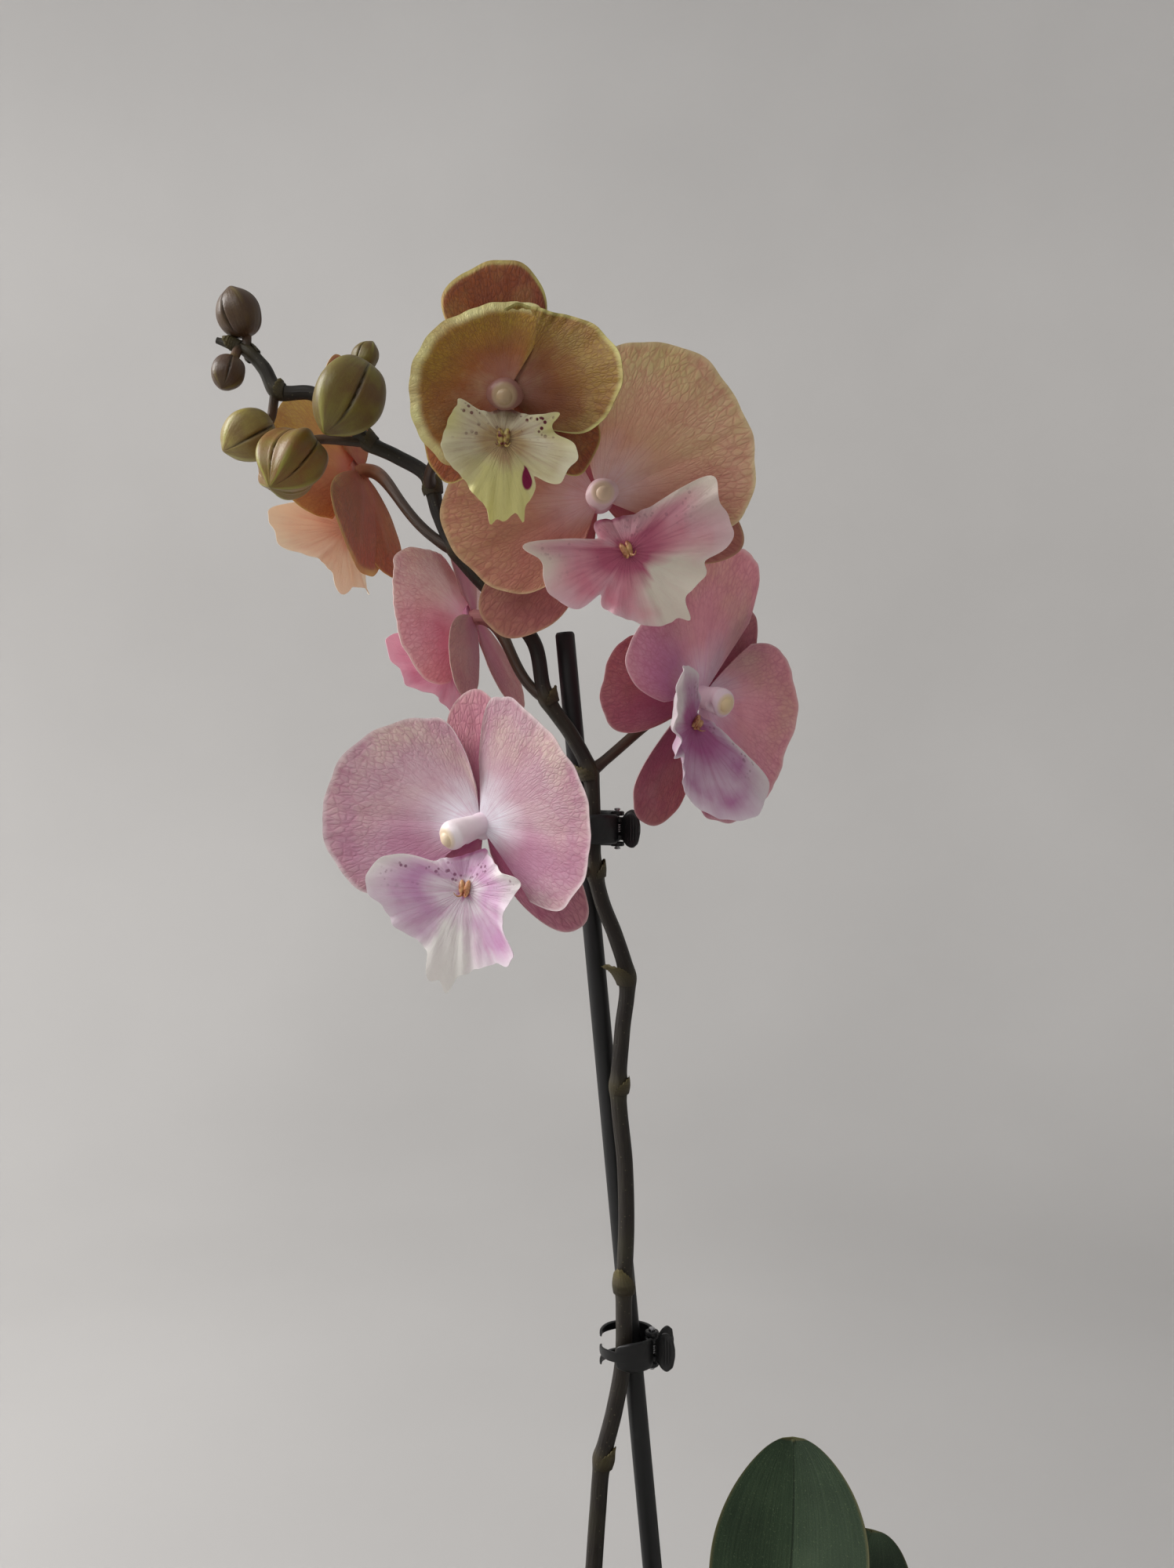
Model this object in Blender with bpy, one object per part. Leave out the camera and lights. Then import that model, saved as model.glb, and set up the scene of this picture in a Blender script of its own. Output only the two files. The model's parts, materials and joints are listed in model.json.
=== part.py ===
"""Potted moth orchid: a flower spike with six flowers and six buds, clipped to a stake, in a plain pot.

The origin is at the centre of the pot's base, +Z up. Tables and shape functions are in millimetres and
degrees, and every mesh is made in metres. A flower's own frame has x to its right as it is looked at,
y back towards its stalk and z up, so a flower faces -y before it is turned.
"""

import bmesh
import bpy
import numpy as np
from math import cos, hypot, pi, radians, sin
from mathutils import Matrix, Vector

MM = 0.001
GAP = 0.4  # left between pieces that touch

# Pot and bark
POT_HEIGHT = 120.0
POT_RIM_RADIUS = 65.0
POT_BASE_RADIUS = 47.0
POT_WALL = 3.2
POT_FLOOR = 5.0
RIM_BAND = 12.0
BARK_TOP = 104.0
BARK_RISE = 4.0
ROUND = 40  # steps round the pot

# Crown, leaves and roots
CROWN_BASE = (32.0, 2.0, 108.8)
CROWN_HEIGHT = 30.0
CROWN_RADIUS = 8.5
LEAF_THICKNESS = 1.8
ROOT_RADIUS = 2.6

# Flower spike and its support
SPIKE_RADIUS_LOW = 3.2
SPIKE_RADIUS_HIGH = 2.5
STALK_RADIUS = 2.1
STAKE_RADIUS = 3.5
STAKE_TOP = (-30.9, 6.8, 569.5)
STAKE_FOOT = (19.2, 6.8, 36.0)

# Flowers
TEPAL_THICKNESS = 0.8
PETAL_START = 4.0  # a petal begins this far from the middle of its flower
SEPAL_START = 1.5
SEPAL_BACK = 2.2  # the sepals stand this far behind the petals
HUB_RADIUS = 3.8
HUB_HALF_DEPTH = 2.9
HUB_BACK = 3.9
COLUMN_RADIUS = 2.6
COLUMN_FOOT = (0.0, -3.6, -0.6)
COLUMN_TIP = (0.0, -11.2, -2.8)

# Clips
CLIP_HEIGHT = 13.0
CLIP_BAND = 1.7
PIN_RADIUS = 0.8
PIN_FIT = 0.35
KNUCKLE_RADIUS = 2.5
SPRING_WIRE = 0.35
WING_LENGTH = 9.4
WING_ANGLE = 33.0

# The spike's centre line. Its foot leaves the crown's side and passes behind the stake, and above that it
# stays in the plane y = 0, as (x, z), up to the growing tip.
SPIKE_FOOT = [
    (23.4, 8.8, 120.5), (17, 13.0, 122.5), (11, 15.6, 126), (-2, 13.6, 136), (-12, 9, 150), (-19, 4.2, 168),
    (-22.3, 0.9, 187),
]  # fmt: skip
SPIKE_LINE = [
    (-22.6, 205), (-20.4, 235), (-19.0, 255), (-17.3, 273.6), (-13.1, 291),
    (-10.3, 306), (-9.5, 335.8), (-8.7, 358), (-9.2, 378), (-11.6, 407), (-10.2, 427), (-8.6, 446.4),
    (-12.6, 460.4), (-17.5, 473), (-20.1, 484.2), (-20.6, 505), (-21.8, 519.2), (-28.0, 532),
    (-37.2, 545.8), (-42.0, 566), (-53.2, 579.4), (-70.0, 599), (-76.0, 612), (-80.0, 625),
    (-91.0, 632), (-101, 637), (-110, 647), (-121, 654.5), (-133.5, 655.5), (-138.5, 664),
    (-144, 669.5), (-155, 673.5),
]  # fmt: skip

# Outlines of tepals and lips: (angle from the piece's axis, distance from its centre).
SEPAL = [(-40, 10), (-20, 35), (-10, 44), (0, 48), (10, 44), (20, 35), (40, 10)]

# A flower: its middle, its turn (yaw, pitch, roll), the node of the spike that its stalk leaves (x, z),
# the stalk's first direction there, how far its column's tip stands to the right and up, and its pieces. A
# piece leans back by lean, and so on, as in fan().
FLOWERS = {
    "flower_1": dict(
        middle=(-58.1, -38, 501.3), turn=(-20, 0, 4), node=(-20.1, 484.2), leave=(-1, -0.35, 0.1),
        column=(-6, -1.5),
        petal_right=dict(
            outline=[(-44, 32), (-25, 44), (0, 44.5), (28, 43), (60, 41.5), (79, 43), (90, 33)],
            lean=-0.35,
        ),
        petal_left=dict(
            outline=[(-44, 30), (-36, 44), (-12, 54), (8, 56), (30, 51), (56, 41), (72, 32), (80, 16)],
            lean=-0.10,
        ),
        dorsal=dict(
            outline=[(-34, 10), (-19, 34), (-10, 42), (0, 46), (10, 42), (19, 34), (32, 10)],
            axis=101, lean=0.1,
        ),
        sepal_right=dict(
            outline=[(-30, 10), (-17, 33), (-10, 42), (0, 47), (12, 41), (22, 32), (36, 8)],
            axis=-41, lean=0.15,
        ),
        sepal_left=dict(outline=SEPAL, axis=-46, lean=0.15),
        lip=dict(
            outline=[
                (-180, 12.5), (-140, 13), (-119, 22), (-103, 29), (-84, 28), (-69, 25.5), (-46, 23.5),
                (-26, 24), (-17, 31.5), (-8, 34), (5, 27), (35, 26.5), (46, 28.5), (57, 21), (73, 17.5),
                (92, 20), (103, 22.5), (115, 17.5), (144, 15), (180, 12.5),
            ],
            centre=(0, -8, -21), fold=-0.45,
        ),
    ),
    "flower_2": dict(
        middle=(17.9, -4, 546.1), turn=(45, 0, 48), node=(-21.8, 519.2), leave=(1, 0.25, 0.75),
        column=(2, 0),
        petal_right=dict(
            outline=[(-58, 35), (-40, 45), (-15, 48), (20, 48), (56, 50), (74, 45), (86, 32)],
            lean=-0.1,
        ),
        petal_left=dict(
            outline=[(-56, 22), (-44, 39), (-15, 42), (18, 44), (49, 52), (68, 58), (79, 54), (86, 39)],
            lean=-0.1,
        ),
        dorsal=dict(outline=SEPAL, axis=90, lean=0.05),
        sepal_right=dict(
            outline=[(-30, 10), (-20, 37), (-12, 44), (0, 48), (12, 44), (20, 37), (34, 10)],
            axis=-60, lean=0.25,
        ),
        sepal_left=dict(
            outline=[(-42, 10), (-26, 33), (-13, 37), (8, 37), (28, 35), (40, 30), (48, 14)],
            axis=-46, lean=0.3,
        ),
        lip=dict(
            outline=[
                (-180, 8), (-140, 9), (-111, 20), (-93, 24), (-67, 25), (-36, 19), (-10, 18), (12, 20),
                (30, 25), (48, 30), (66, 35), (90, 37), (104, 36), (114, 23), (135, 11), (180, 8),
            ],
            centre=(-1, -8, -17), fold=-0.3,
        ),
    ),
    "flower_3": dict(
        middle=(-66.7, 18, 575.9), turn=(-108, 14, -6), node=(-37.2, 545.8), leave=(-1, 0.2, 0.5),
        column=(0, 0),
        petal_right=dict(
            outline=[(-56, 32), (-40, 43), (-28, 45), (4, 42), (36, 37), (60, 28), (78, 22), (85, 16)],
            lean=-0.2,
        ),
        petal_left=dict(
            outline=[(-30, 26), (-8, 44), (20, 49), (50, 45), (77, 37), (86, 25)], lean=-0.2,
        ),
        dorsal=dict(outline=SEPAL, axis=90, lean=0.0),
        sepal_right=dict(outline=SEPAL, axis=-46, lean=0.05),
        sepal_left=dict(
            outline=[(-40, 10), (-20, 31), (-10, 39), (0, 42), (10, 39), (20, 31), (40, 10)],
            axis=-46, lean=0.05,
        ),
        lip=dict(
            outline=[
                (-180, 9.4), (-150, 11), (-125, 18), (-100, 27), (-75, 24), (-54, 19), (-20, 19), (0, 22),
                (20, 19), (54, 19), (75, 24), (100, 27), (125, 18), (150, 11), (180, 9.4),
            ],
            centre=(0, -10, -15), fold=-0.5,
        ),
    ),
    "flower_4": dict(
        middle=(-18.5, -30, 610.8), turn=(6, 5, -25), node=(-53.2, 579.4), leave=(0.9, -0.5, 0.8),
        column=(0, 4),
        petal_right=dict(
            outline=[(-46, 30), (-28, 49), (0, 54), (20, 56), (42, 54), (58, 50), (72, 40), (82, 26)],
            lean=-0.15,
        ),
        petal_left=dict(
            outline=[(-46, 18), (-30, 38), (-8, 49), (12, 53), (36, 49), (58, 45), (76, 40), (86, 28)],
            lean=0.12,
        ),
        dorsal=dict(outline=SEPAL, axis=90, lean=0.2),
        sepal_right=dict(
            outline=[(-30, 10), (-16, 40), (-6, 50), (2, 53), (10, 49), (20, 38), (34, 10)],
            axis=-40, lean=0.15,
        ),
        sepal_left=dict(
            outline=[(-30, 14), (-18, 40), (-9, 50), (5, 56), (18, 50), (25, 38), (36, 8)],
            axis=-31, lean=0.3,
        ),
        lip=dict(
            outline=[
                (-180, 12), (-132, 15), (-118, 33), (-100, 29), (-83, 30), (-64, 24), (-52, 19),
                (-26, 22), (0, 27), (19, 30), (27, 25), (52, 27), (66, 32), (90, 35), (108, 35),
                (118, 25), (138, 14), (180, 12),
            ],
            centre=(0, -8, -20), fold=-0.2,
        ),
    ),
    "flower_5": dict(
        middle=(-111.9, 42, 635.2), turn=(-120, 14, 0), node=(-70.0, 599), leave=(-1, 0.1, 0.5),
        column=(0, 0),
        petal_right=dict(
            outline=[(-50, 27), (-28, 38), (-5, 41), (20, 41), (50, 36), (76, 27), (85, 18)], lean=-0.1,
        ),
        petal_left=dict(
            outline=[(-40, 22), (-12, 37), (20, 37), (50, 33), (76, 26), (85, 18)], lean=-0.6,
        ),
        dorsal=dict(outline=SEPAL, axis=90, lean=0.0),
        sepal_right=dict(
            outline=[(-52, 10), (-28, 39), (-12, 45), (4, 47), (18, 45), (32, 39), (52, 10)],
            axis=-64, lean=0.1, twist=0.4,
        ),
        sepal_left=dict(
            outline=[(-40, 10), (-20, 32), (-10, 40), (0, 43), (10, 40), (20, 32), (40, 10)],
            axis=-80, lean=0.0,
        ),
        lip=dict(
            outline=[
                (-180, 11), (-150, 11), (-125, 18), (-100, 26), (-75, 24), (-54, 21), (-20, 24), (0, 27),
                (20, 24), (54, 21), (75, 24), (100, 26), (125, 18), (150, 11), (180, 11),
            ],
            centre=(0, -10, -19), fold=-0.6,
        ),
    ),
    "flower_6": dict(
        middle=(-47.7, -66, 636.5), turn=(0, 15, 3), node=(-78.6, 621.0), leave=(-0.1, -1, 0.2),
        column=(0, 2),
        petal_right=dict(
            outline=[(-46, 14), (-25, 26), (-8, 32), (15, 36), (38, 33), (62, 27), (77, 24), (86, 17)],
            lean=-0.1, bend=-0.5,
        ),
        petal_left=dict(
            outline=[(-64, 22), (-52, 28), (-30, 29), (0, 28), (35, 27), (68, 24), (79, 22), (86, 16)],
            lean=-0.1, bend=-0.5,
        ),
        dorsal=dict(
            outline=[(-40, 10), (-20, 31), (-9, 37), (6, 39), (26, 37), (40, 33), (54, 14)],
            axis=90, lean=0.06,
        ),
        sepal_right=dict(
            outline=[(-34, 12), (-16, 33), (-6, 34), (4, 33), (14, 31), (24, 26), (34, 12)],
            axis=-32, lean=0.1,
        ),
        sepal_left=dict(
            outline=[(-34, 12), (-14, 33), (-2, 34), (8, 32), (18, 29), (28, 22), (36, 10)],
            axis=-46, lean=0.1,
        ),
        lip=dict(
            outline=[
                (-180, 13.5), (-150, 15), (-136, 21), (-122, 18), (-95, 18), (-71, 15), (-46, 13),
                (-23, 15), (-3, 21), (8, 19.5), (23, 21), (39, 16), (57, 16), (75, 21), (99, 24),
                (116, 20), (131, 21), (150, 16), (180, 13.5),
            ],
            centre=(0, -8, -20.5), fold=-0.3,
        ),
    ),
}  # fmt: skip

# A bud: its middle, the direction of its tip, its radius and half length, and the node of the spike
# (x, z) that its stalk leaves.
BUDS = {
    "bud_1": dict(middle=(-126.2, -12, 627), tip=(-0.35, -0.6, -0.7), size=(11.6, 13.5), node=(-101, 637)),
    "bud_2": dict(middle=(-105.4, -18, 648), tip=(-0.45, -0.25, -0.85), size=(12.0, 14.5), node=(-106, 642)),
    "bud_3": dict(middle=(-143.7, -1, 639.2), tip=(-0.7, -0.4, -0.6), size=(9.4, 10.2), node=(-133.5, 655.5)),
    "bud_4": dict(middle=(-101.6, -2, 667), tip=(0.4, 0.1, 0.9), size=(4.8, 5.8), node=(-110, 647)),
    "bud_5": dict(middle=(-146.8, -1, 683), tip=(-0.3, -0.2, 0.95), size=(8.0, 8.8), node=(-144, 669.5)),
    "bud_6": dict(middle=(-149.0, -8, 659.5), tip=(-0.2, -0.4, -0.85), size=(5.9, 6.6), node=(-147.5, 670.9)),
}  # fmt: skip

# A leaf: the direction it grows in, its length and greatest width, how steeply it climbs at its foot and at
# its tip, and where its foot stands: how far from the crown's middle and how far above the crown's base.
LEAVES = {
    "leaf_1": dict(heading=64, sweep=20, length=153, width=65, rise=(43, 35), foot=(12.0, 18)),
    "leaf_2": dict(heading=246, sweep=-8, length=160, width=66, rise=(54, 4), foot=(12.0, 16)),
    "leaf_3": dict(heading=57, sweep=5, length=143, width=62, rise=(43, 11), foot=(14.5, 13)),
    "leaf_4": dict(heading=230, sweep=6, length=176, width=70, rise=(42, -16), foot=(14.5, 11)),
    "leaf_5": dict(heading=82, sweep=8, length=150, width=64, rise=(27, -18), foot=(18.5, 4)),
    "leaf_6": dict(heading=264, sweep=-6, length=152, width=62, rise=(29, -20), foot=(18.5, 4)),
}

# Aerial roots: the points that each passes through, from the crown outwards.
ROOTS = {
    "root_1": [
        (44.5, -2, 112), (50, -8, 114), (56, -13, 122), (61, -16, 127.5), (67, -18, 125), (73, -20, 116),
        (76, -21, 104),
    ],
    "root_2": [
        (20, -7, 112), (8, -18, 111), (-4, -32, 113), (-14, -45, 122), (-19, -54, 127.5), (-24, -62, 124),
        (-27, -68, 110),
    ],
    "root_3": [
        (21, 7.5, 111.8), (12, 18, 111), (-4, 30, 113), (-18, 40, 121), (-27, 48, 127), (-35, 56, 123),
        (-39, 61, 108),
    ],
    "root_4": [
        (20.5, -1, 112), (8, -4, 111.5), (-12, -5, 112), (-30, -6, 115), (-45, -7, 122), (-55, -9, 127.5),
        (-64, -11, 126.5), (-71, -12.5, 118), (-74, -14, 105),
    ],
}  # fmt: skip

# A clip: the height of its middle, and where its hinge stands from the middle of the spike: right and back.
CLIPS = {
    "clip_1": dict(height=499.0, hinge=(8.6, 2.6)),
    "clip_2": dict(height=312.5, hinge=(10.2, 2.6)),
}

PLASTIC = (0.012, 0.012, 0.014)
COLOURS = {
    "pot": ((0.80, 0.79, 0.76), 0.35),
    "bark_mix": ((0.16, 0.09, 0.05), 0.95),
    "crown": ((0.16, 0.22, 0.08), 0.6),
    "leaf": ((0.045, 0.10, 0.035), 0.45),
    "root": ((0.42, 0.46, 0.36), 0.7),
    "flower_spike": ((0.07, 0.06, 0.03), 0.5),
    "stake": (PLASTIC, 0.5),
    "clip": (PLASTIC, 0.45),
    "hinge_pin": ((0.5, 0.5, 0.5), 0.3),
    "spring": ((0.5, 0.5, 0.5), 0.3),
    "bud": ((0.22, 0.20, 0.07), 0.5),
    "calyx": ((0.62, 0.33, 0.36), 0.6),
    "petal": ((0.76, 0.50, 0.55), 0.6),
    "lip": ((0.80, 0.68, 0.76), 0.6),
    "column": ((0.86, 0.78, 0.76), 0.5),
}


def clear_scene():
    for obj in list(bpy.data.objects):
        bpy.data.objects.remove(obj, do_unlink=True)


def material_for(name):
    """One Principled material for each object, in the colour of the first key that its name holds."""
    key = next(k for k in reversed(COLOURS) if k in name)
    colour, roughness = COLOURS[key]
    material = bpy.data.materials.new(name)
    material.use_nodes = True
    shader = material.node_tree.nodes["Principled BSDF"]
    shader.inputs["Base Color"].default_value = (*colour, 1)
    shader.inputs["Roughness"].default_value = roughness
    shader.inputs["Metallic"].default_value = 1.0 if key in ("hinge_pin", "spring") else 0.0
    return material


def add_object(name, points, faces, helper=False):
    """A mesh object from points in millimetres. A helper is hidden from the model."""
    mesh = bpy.data.meshes.new(name)
    mesh.from_pydata([tuple(p) for p in np.asarray(points) * MM], [], faces)
    work = bmesh.new()
    work.from_mesh(mesh)
    bmesh.ops.remove_doubles(work, verts=work.verts, dist=1e-6)
    bmesh.ops.recalc_face_normals(work, faces=work.faces)
    work.to_mesh(mesh)
    work.free()
    mesh.shade_smooth()
    mesh.set_sharp_from_angle(angle=radians(50))
    obj = bpy.data.objects.new(name, mesh)
    bpy.context.collection.objects.link(obj)
    if helper:
        obj.hide_render = True
        obj.display_type = "WIRE"
    else:
        mesh.materials.append(material_for(name))
    return obj


def grid_faces(rows, columns, offset=0):
    """Quads over a grid of rows by columns of points."""
    index = np.arange(rows * columns).reshape(rows, columns) + offset
    quads = np.stack([index[:-1, :-1], index[:-1, 1:], index[1:, 1:], index[1:, :-1]], -1)
    return [tuple(int(i) for i in quad) for quad in quads.reshape(-1, 4)]


def add_sheet(name, grid, thickness, helper=False):
    """A thin closed piece: a grid of points given its thickness by Solidify, half to each side."""
    rows, columns = grid.shape[:2]
    obj = add_object(name, grid.reshape(-1, 3), grid_faces(rows, columns), helper)
    wall = obj.modifiers.new("Thickness", "SOLIDIFY")
    wall.thickness = thickness * MM
    wall.offset = 0.0
    return obj


def stand_on(obj, point):
    """Puts the object's origin at a point in millimetres, leaving its shape where it is."""
    place = Vector(point) * MM
    obj.data.transform(Matrix.Translation(-place))
    obj.location = place


def add_union(obj, other):
    join = obj.modifiers.new("Join " + other.name, "BOOLEAN")
    join.operation = "UNION"
    join.solver = "EXACT"
    join.object = other


def add_cut(obj, other):
    cut = obj.modifiers.new("Cut " + other.name, "BOOLEAN")
    cut.operation = "DIFFERENCE"
    cut.solver = "EXACT"
    cut.object = other


def through(knots, values, at):
    """A smooth curve through (knot, value): cubic Hermite, with slopes from the neighbouring points."""
    knots, values = np.asarray(knots, float), np.asarray(values, float)
    slope = np.gradient(values, knots, axis=0)
    i = np.clip(np.searchsorted(knots, at, side="right") - 1, 0, len(knots) - 2)
    step = knots[i + 1] - knots[i]
    t = (at - knots[i]) / step
    if values.ndim > 1:
        step, t = step[:, None], t[:, None]
    ends = (1 + 2 * t) * (1 - t) ** 2 * values[i] + t * t * (3 - 2 * t) * values[i + 1]
    return ends + t * (1 - t) ** 2 * step * slope[i] - t * t * (1 - t) * step * slope[i + 1]


def along(points, count):
    """count points evenly along the smooth curve through points."""
    points = np.asarray(points, float)
    knots = np.concatenate([[0], np.cumsum(np.linalg.norm(np.diff(points, axis=0), axis=1))])
    return through(knots, points, np.linspace(0, knots[-1], count))


def bezier(a, b, c, d, count):
    """count points on the cubic Bezier curve from a to d."""
    t = np.linspace(0, 1, count)[:, None]
    return (1 - t) ** 3 * a + 3 * t * (1 - t) ** 2 * b + 3 * t * t * (1 - t) * c + t**3 * d


def tube_mesh(line, radii, sides):
    """Points and faces of a tube round a line, with flat ends. Each ring stands square to the line."""
    line = np.asarray(line, float)
    tangent = np.gradient(line, axis=0)
    tangent /= np.linalg.norm(tangent, axis=1)[:, None]
    side = np.cross(tangent, (0.03, 1.0, 0.02))
    side /= np.linalg.norm(side, axis=1)[:, None]
    up = np.cross(side, tangent)
    angle = np.arange(sides) * 2 * pi / sides
    ring = np.cos(angle)[None, :, None] * side[:, None] + np.sin(angle)[None, :, None] * up[:, None]
    points = line[:, None] + ring * np.broadcast_to(radii, len(line))[:, None, None]
    index = np.arange(len(line) * sides).reshape(-1, sides)
    after = np.roll(index, -1, axis=1)
    quads = np.stack([index[:-1], after[:-1], after[1:], index[1:]], -1).reshape(-1, 4)
    faces = [tuple(int(i) for i in quad) for quad in quads]
    faces += [tuple(int(i) for i in index[0][::-1]), tuple(int(i) for i in index[-1])]
    return points.reshape(-1, 3), faces


def add_tube(name, line, radii, sides, helper=False):
    return add_object(name, *tube_mesh(line, radii, sides), helper)


def lathe_mesh(profile, steps):
    """Points and faces of a profile of (radius, height) turned about Z. It starts and ends on the axis."""
    profile = np.asarray(profile, float)
    angle = np.linspace(0, 2 * pi, steps + 1)[None, :]
    radius, height = profile[:, :1], profile[:, 1:]
    grid = np.stack([radius * np.cos(angle), radius * np.sin(angle), height + 0 * angle], -1)
    return grid.reshape(-1, 3), grid_faces(len(profile), steps + 1)


def turn_matrix(yaw, pitch, roll):
    """Roll about the flower's own y, then pitch about x, then yaw about z."""
    a, b, c = radians(yaw), radians(pitch), radians(roll)
    about_z = np.array([[cos(a), -sin(a), 0], [sin(a), cos(a), 0], [0, 0, 1]])
    about_x = np.array([[1, 0, 0], [0, cos(b), -sin(b)], [0, sin(b), cos(b)]])
    about_y = np.array([[cos(c), 0, sin(c)], [0, 1, 0], [-sin(c), 0, cos(c)]])
    return about_z @ about_x @ about_y


def fan(outline, axis=0.0, lean=0.0, bend=0.0, twist=0.0, fold=0.0, mirror=False, start=0.0,
        centre=(0, 0, 0), rings=4, across=8, claw=0.0):  # fmt: skip
    """A grid of points over a petal, from near its foot to its outline.

    With a along the axis and b across it, the sheet stands back by lean*a, by bend*a*a and twist*a*b over
    its length, and by fold*|b|. The claw draws the edge opposite the axis back towards the flower.
    """
    angles, radii = np.array(outline, float).T
    angle = np.linspace(angles[0], angles[-1], across + 1)[None, :]
    out = np.linspace(0, 1, rings + 1)[:, None]
    reach = start + (np.maximum(through(angles, radii, angle), start + 0.5) - start) * out
    a, b = reach * np.cos(np.radians(angle)), reach * np.sin(np.radians(angle))
    length = radii.max()
    back = lean * a + bend * a * a / length + twist * a * b / length + fold * np.abs(b)
    back = back + claw * out**2 * np.clip(-np.cos(np.radians(angle)), 0, 1) ** 6
    x = a * cos(radians(axis)) - b * sin(radians(axis))
    z = a * sin(radians(axis)) + b * cos(radians(axis))
    return np.stack([-x if mirror else x, back, z], -1) + np.array(centre, float)


def add_pot():
    base, rim, top = POT_BASE_RADIUS, POT_RIM_RADIUS, POT_HEIGHT
    profile = [
        (0, 0), (base - 1.5, 0), (base, 1.5), (rim - 4.2, top - RIM_BAND - 2), (rim - 1.2, top - RIM_BAND),
        (rim, top - 1.2), (rim - 1.2, top), (rim - POT_WALL, top), (rim - POT_WALL - 0.8, top - 2),
        (rim - POT_WALL - 3.6, top - RIM_BAND - 4), (base - POT_WALL, POT_FLOOR + 3),
        (base - POT_WALL - 3, POT_FLOOR), (0, POT_FLOOR),
    ]  # fmt: skip
    add_object("pot", *lathe_mesh(profile, ROUND))


def add_bark():
    """The bark fills the pot to a lumpy, slightly domed top, with a hole for the stake."""
    low, high = POT_BASE_RADIUS - POT_WALL, POT_RIM_RADIUS - POT_WALL - 4.8
    top_radii = [0.97, 0.75, 0.5, 0.25]
    foot = POT_FLOOR + GAP
    profile = [(0, foot), (low - 4, foot), (low - 1.1, foot + 4), (high, BARK_TOP - 4)]
    profile += [(high * r, BARK_TOP + BARK_RISE * (1 - r * r)) for r in top_radii] + [(0, BARK_TOP + BARK_RISE)]
    points, faces = lathe_mesh(profile, 28)
    angle = np.arctan2(points[:, 1], points[:, 0])
    reach = np.hypot(points[:, 0], points[:, 1])
    lumps = 0.8 * np.sin(5 * angle + 1) * np.sin(reach / 7) + 0.5 * np.cos(9 * angle) * np.sin(reach / 5)
    points[:, 2] += np.where((points[:, 2] > BARK_TOP - 1) & (reach > 1), lumps, 0)
    bark = add_object("bark_mix", points, faces)
    ends = [stake_at(STAKE_FOOT[2] - GAP), STAKE_TOP]
    hole = add_tube("stake_hole", ends, STAKE_RADIUS + GAP, 12, helper=True)
    add_cut(bark, hole)


def stake_at(height):
    foot, top = np.array(STAKE_FOOT), np.array(STAKE_TOP)
    return foot + (top - foot) * (height - foot[2]) / (top[2] - foot[2])


def add_crown():
    """The short stem: an upright barrel from the bark to the youngest leaf."""
    levels = np.linspace(0, 1, 7)
    swell = CROWN_RADIUS * (0.62 + 0.38 * np.sin(pi * (0.15 + 0.7 * levels)))
    line = np.array(CROWN_BASE) + np.outer(levels * CROWN_HEIGHT, (0, 0, 1.0))
    add_tube("crown", line, swell, 12)


def leaf_grid(heading, sweep, length, width, rise, foot, rows=10, columns=4):
    """A strap leaf: a line that arches from the crown and sweeps sideways, with a folded foot, a wide blade and
    a round tip."""
    s = np.linspace(0, 1, rows + 1)
    steepness = np.radians(rise[0] + (rise[1] - rise[0]) * s**0.8)
    turn = np.radians(heading + sweep * s)
    out = np.stack([np.cos(turn), np.sin(turn), 0 * s], -1)
    across = np.stack([-np.sin(turn), np.cos(turn), 0 * s], -1)
    upward = np.array([0, 0, 1.0])
    steps = np.cos(steepness)[:, None] * out + np.sin(steepness)[:, None] * upward
    half = 0.5 * width * through([0, 0.12, 0.35, 0.62, 0.85, 0.96, 1], [0.3, 0.34, 0.8, 1, 0.86, 0.5, 0.1], s)
    side = np.linspace(-1, 1, columns + 1)
    trough = np.abs(side)[None, :] * half[:, None] * (0.75 - 0.55 * s[:, None])
    up = np.cos(steepness)[:, None] * upward - np.sin(steepness)[:, None] * out
    start = np.array(CROWN_BASE) + out[0] * foot[0] + upward * foot[1]
    line = start + np.concatenate([[(0, 0, 0)], np.cumsum(steps[1:] * length / rows, axis=0)])
    reach = (side[None, :] * half[:, None])[..., None]
    return line[:, None] + reach * across[:, None] + trough[..., None] * up[:, None]


def add_leaves():
    for name, leaf in LEAVES.items():
        add_sheet(name, leaf_grid(**leaf), LEAF_THICKNESS)


def add_roots():
    for name, points in ROOTS.items():
        line = along(points, 13)
        taper = ROOT_RADIUS * np.linspace(1.0, 0.8, len(line))
        add_tube(name, line, taper, 8)


def spike_points():
    return np.array(SPIKE_FOOT + [(x, 0.0, z) for x, z in SPIKE_LINE])


def spike_radii(count):
    """The spike thins towards its tip, and the growing end is a thin point."""
    travelled = np.linspace(0, 1, count)
    radii = SPIKE_RADIUS_LOW + (SPIKE_RADIUS_HIGH - SPIKE_RADIUS_LOW) * travelled
    return radii * (1 - 0.55 * np.clip((travelled - 0.93) / 0.07, 0, 1))


def add_spike():
    add_tube("flower_spike", along(spike_points(), 64), spike_radii(64), 8)


def stalk_start(node, leave):
    """The point just clear of the spike where a stalk leaves its node in the direction leave."""
    line = along(spike_points(), 300)
    nearest = np.argmin(np.linalg.norm(line - np.array([node[0], 0, node[1]]), axis=1))
    run = line[min(nearest + 1, 299)] - line[max(nearest - 1, 0)]
    run /= np.linalg.norm(run)
    leave = np.array(leave, float) / np.linalg.norm(leave)
    lengthwise = min(abs(leave @ run), 0.9)
    reach = (spike_radii(300)[nearest] + GAP + STALK_RADIUS * lengthwise) / (1 - lengthwise**2) ** 0.5
    return line[nearest] + leave * reach, leave


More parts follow.
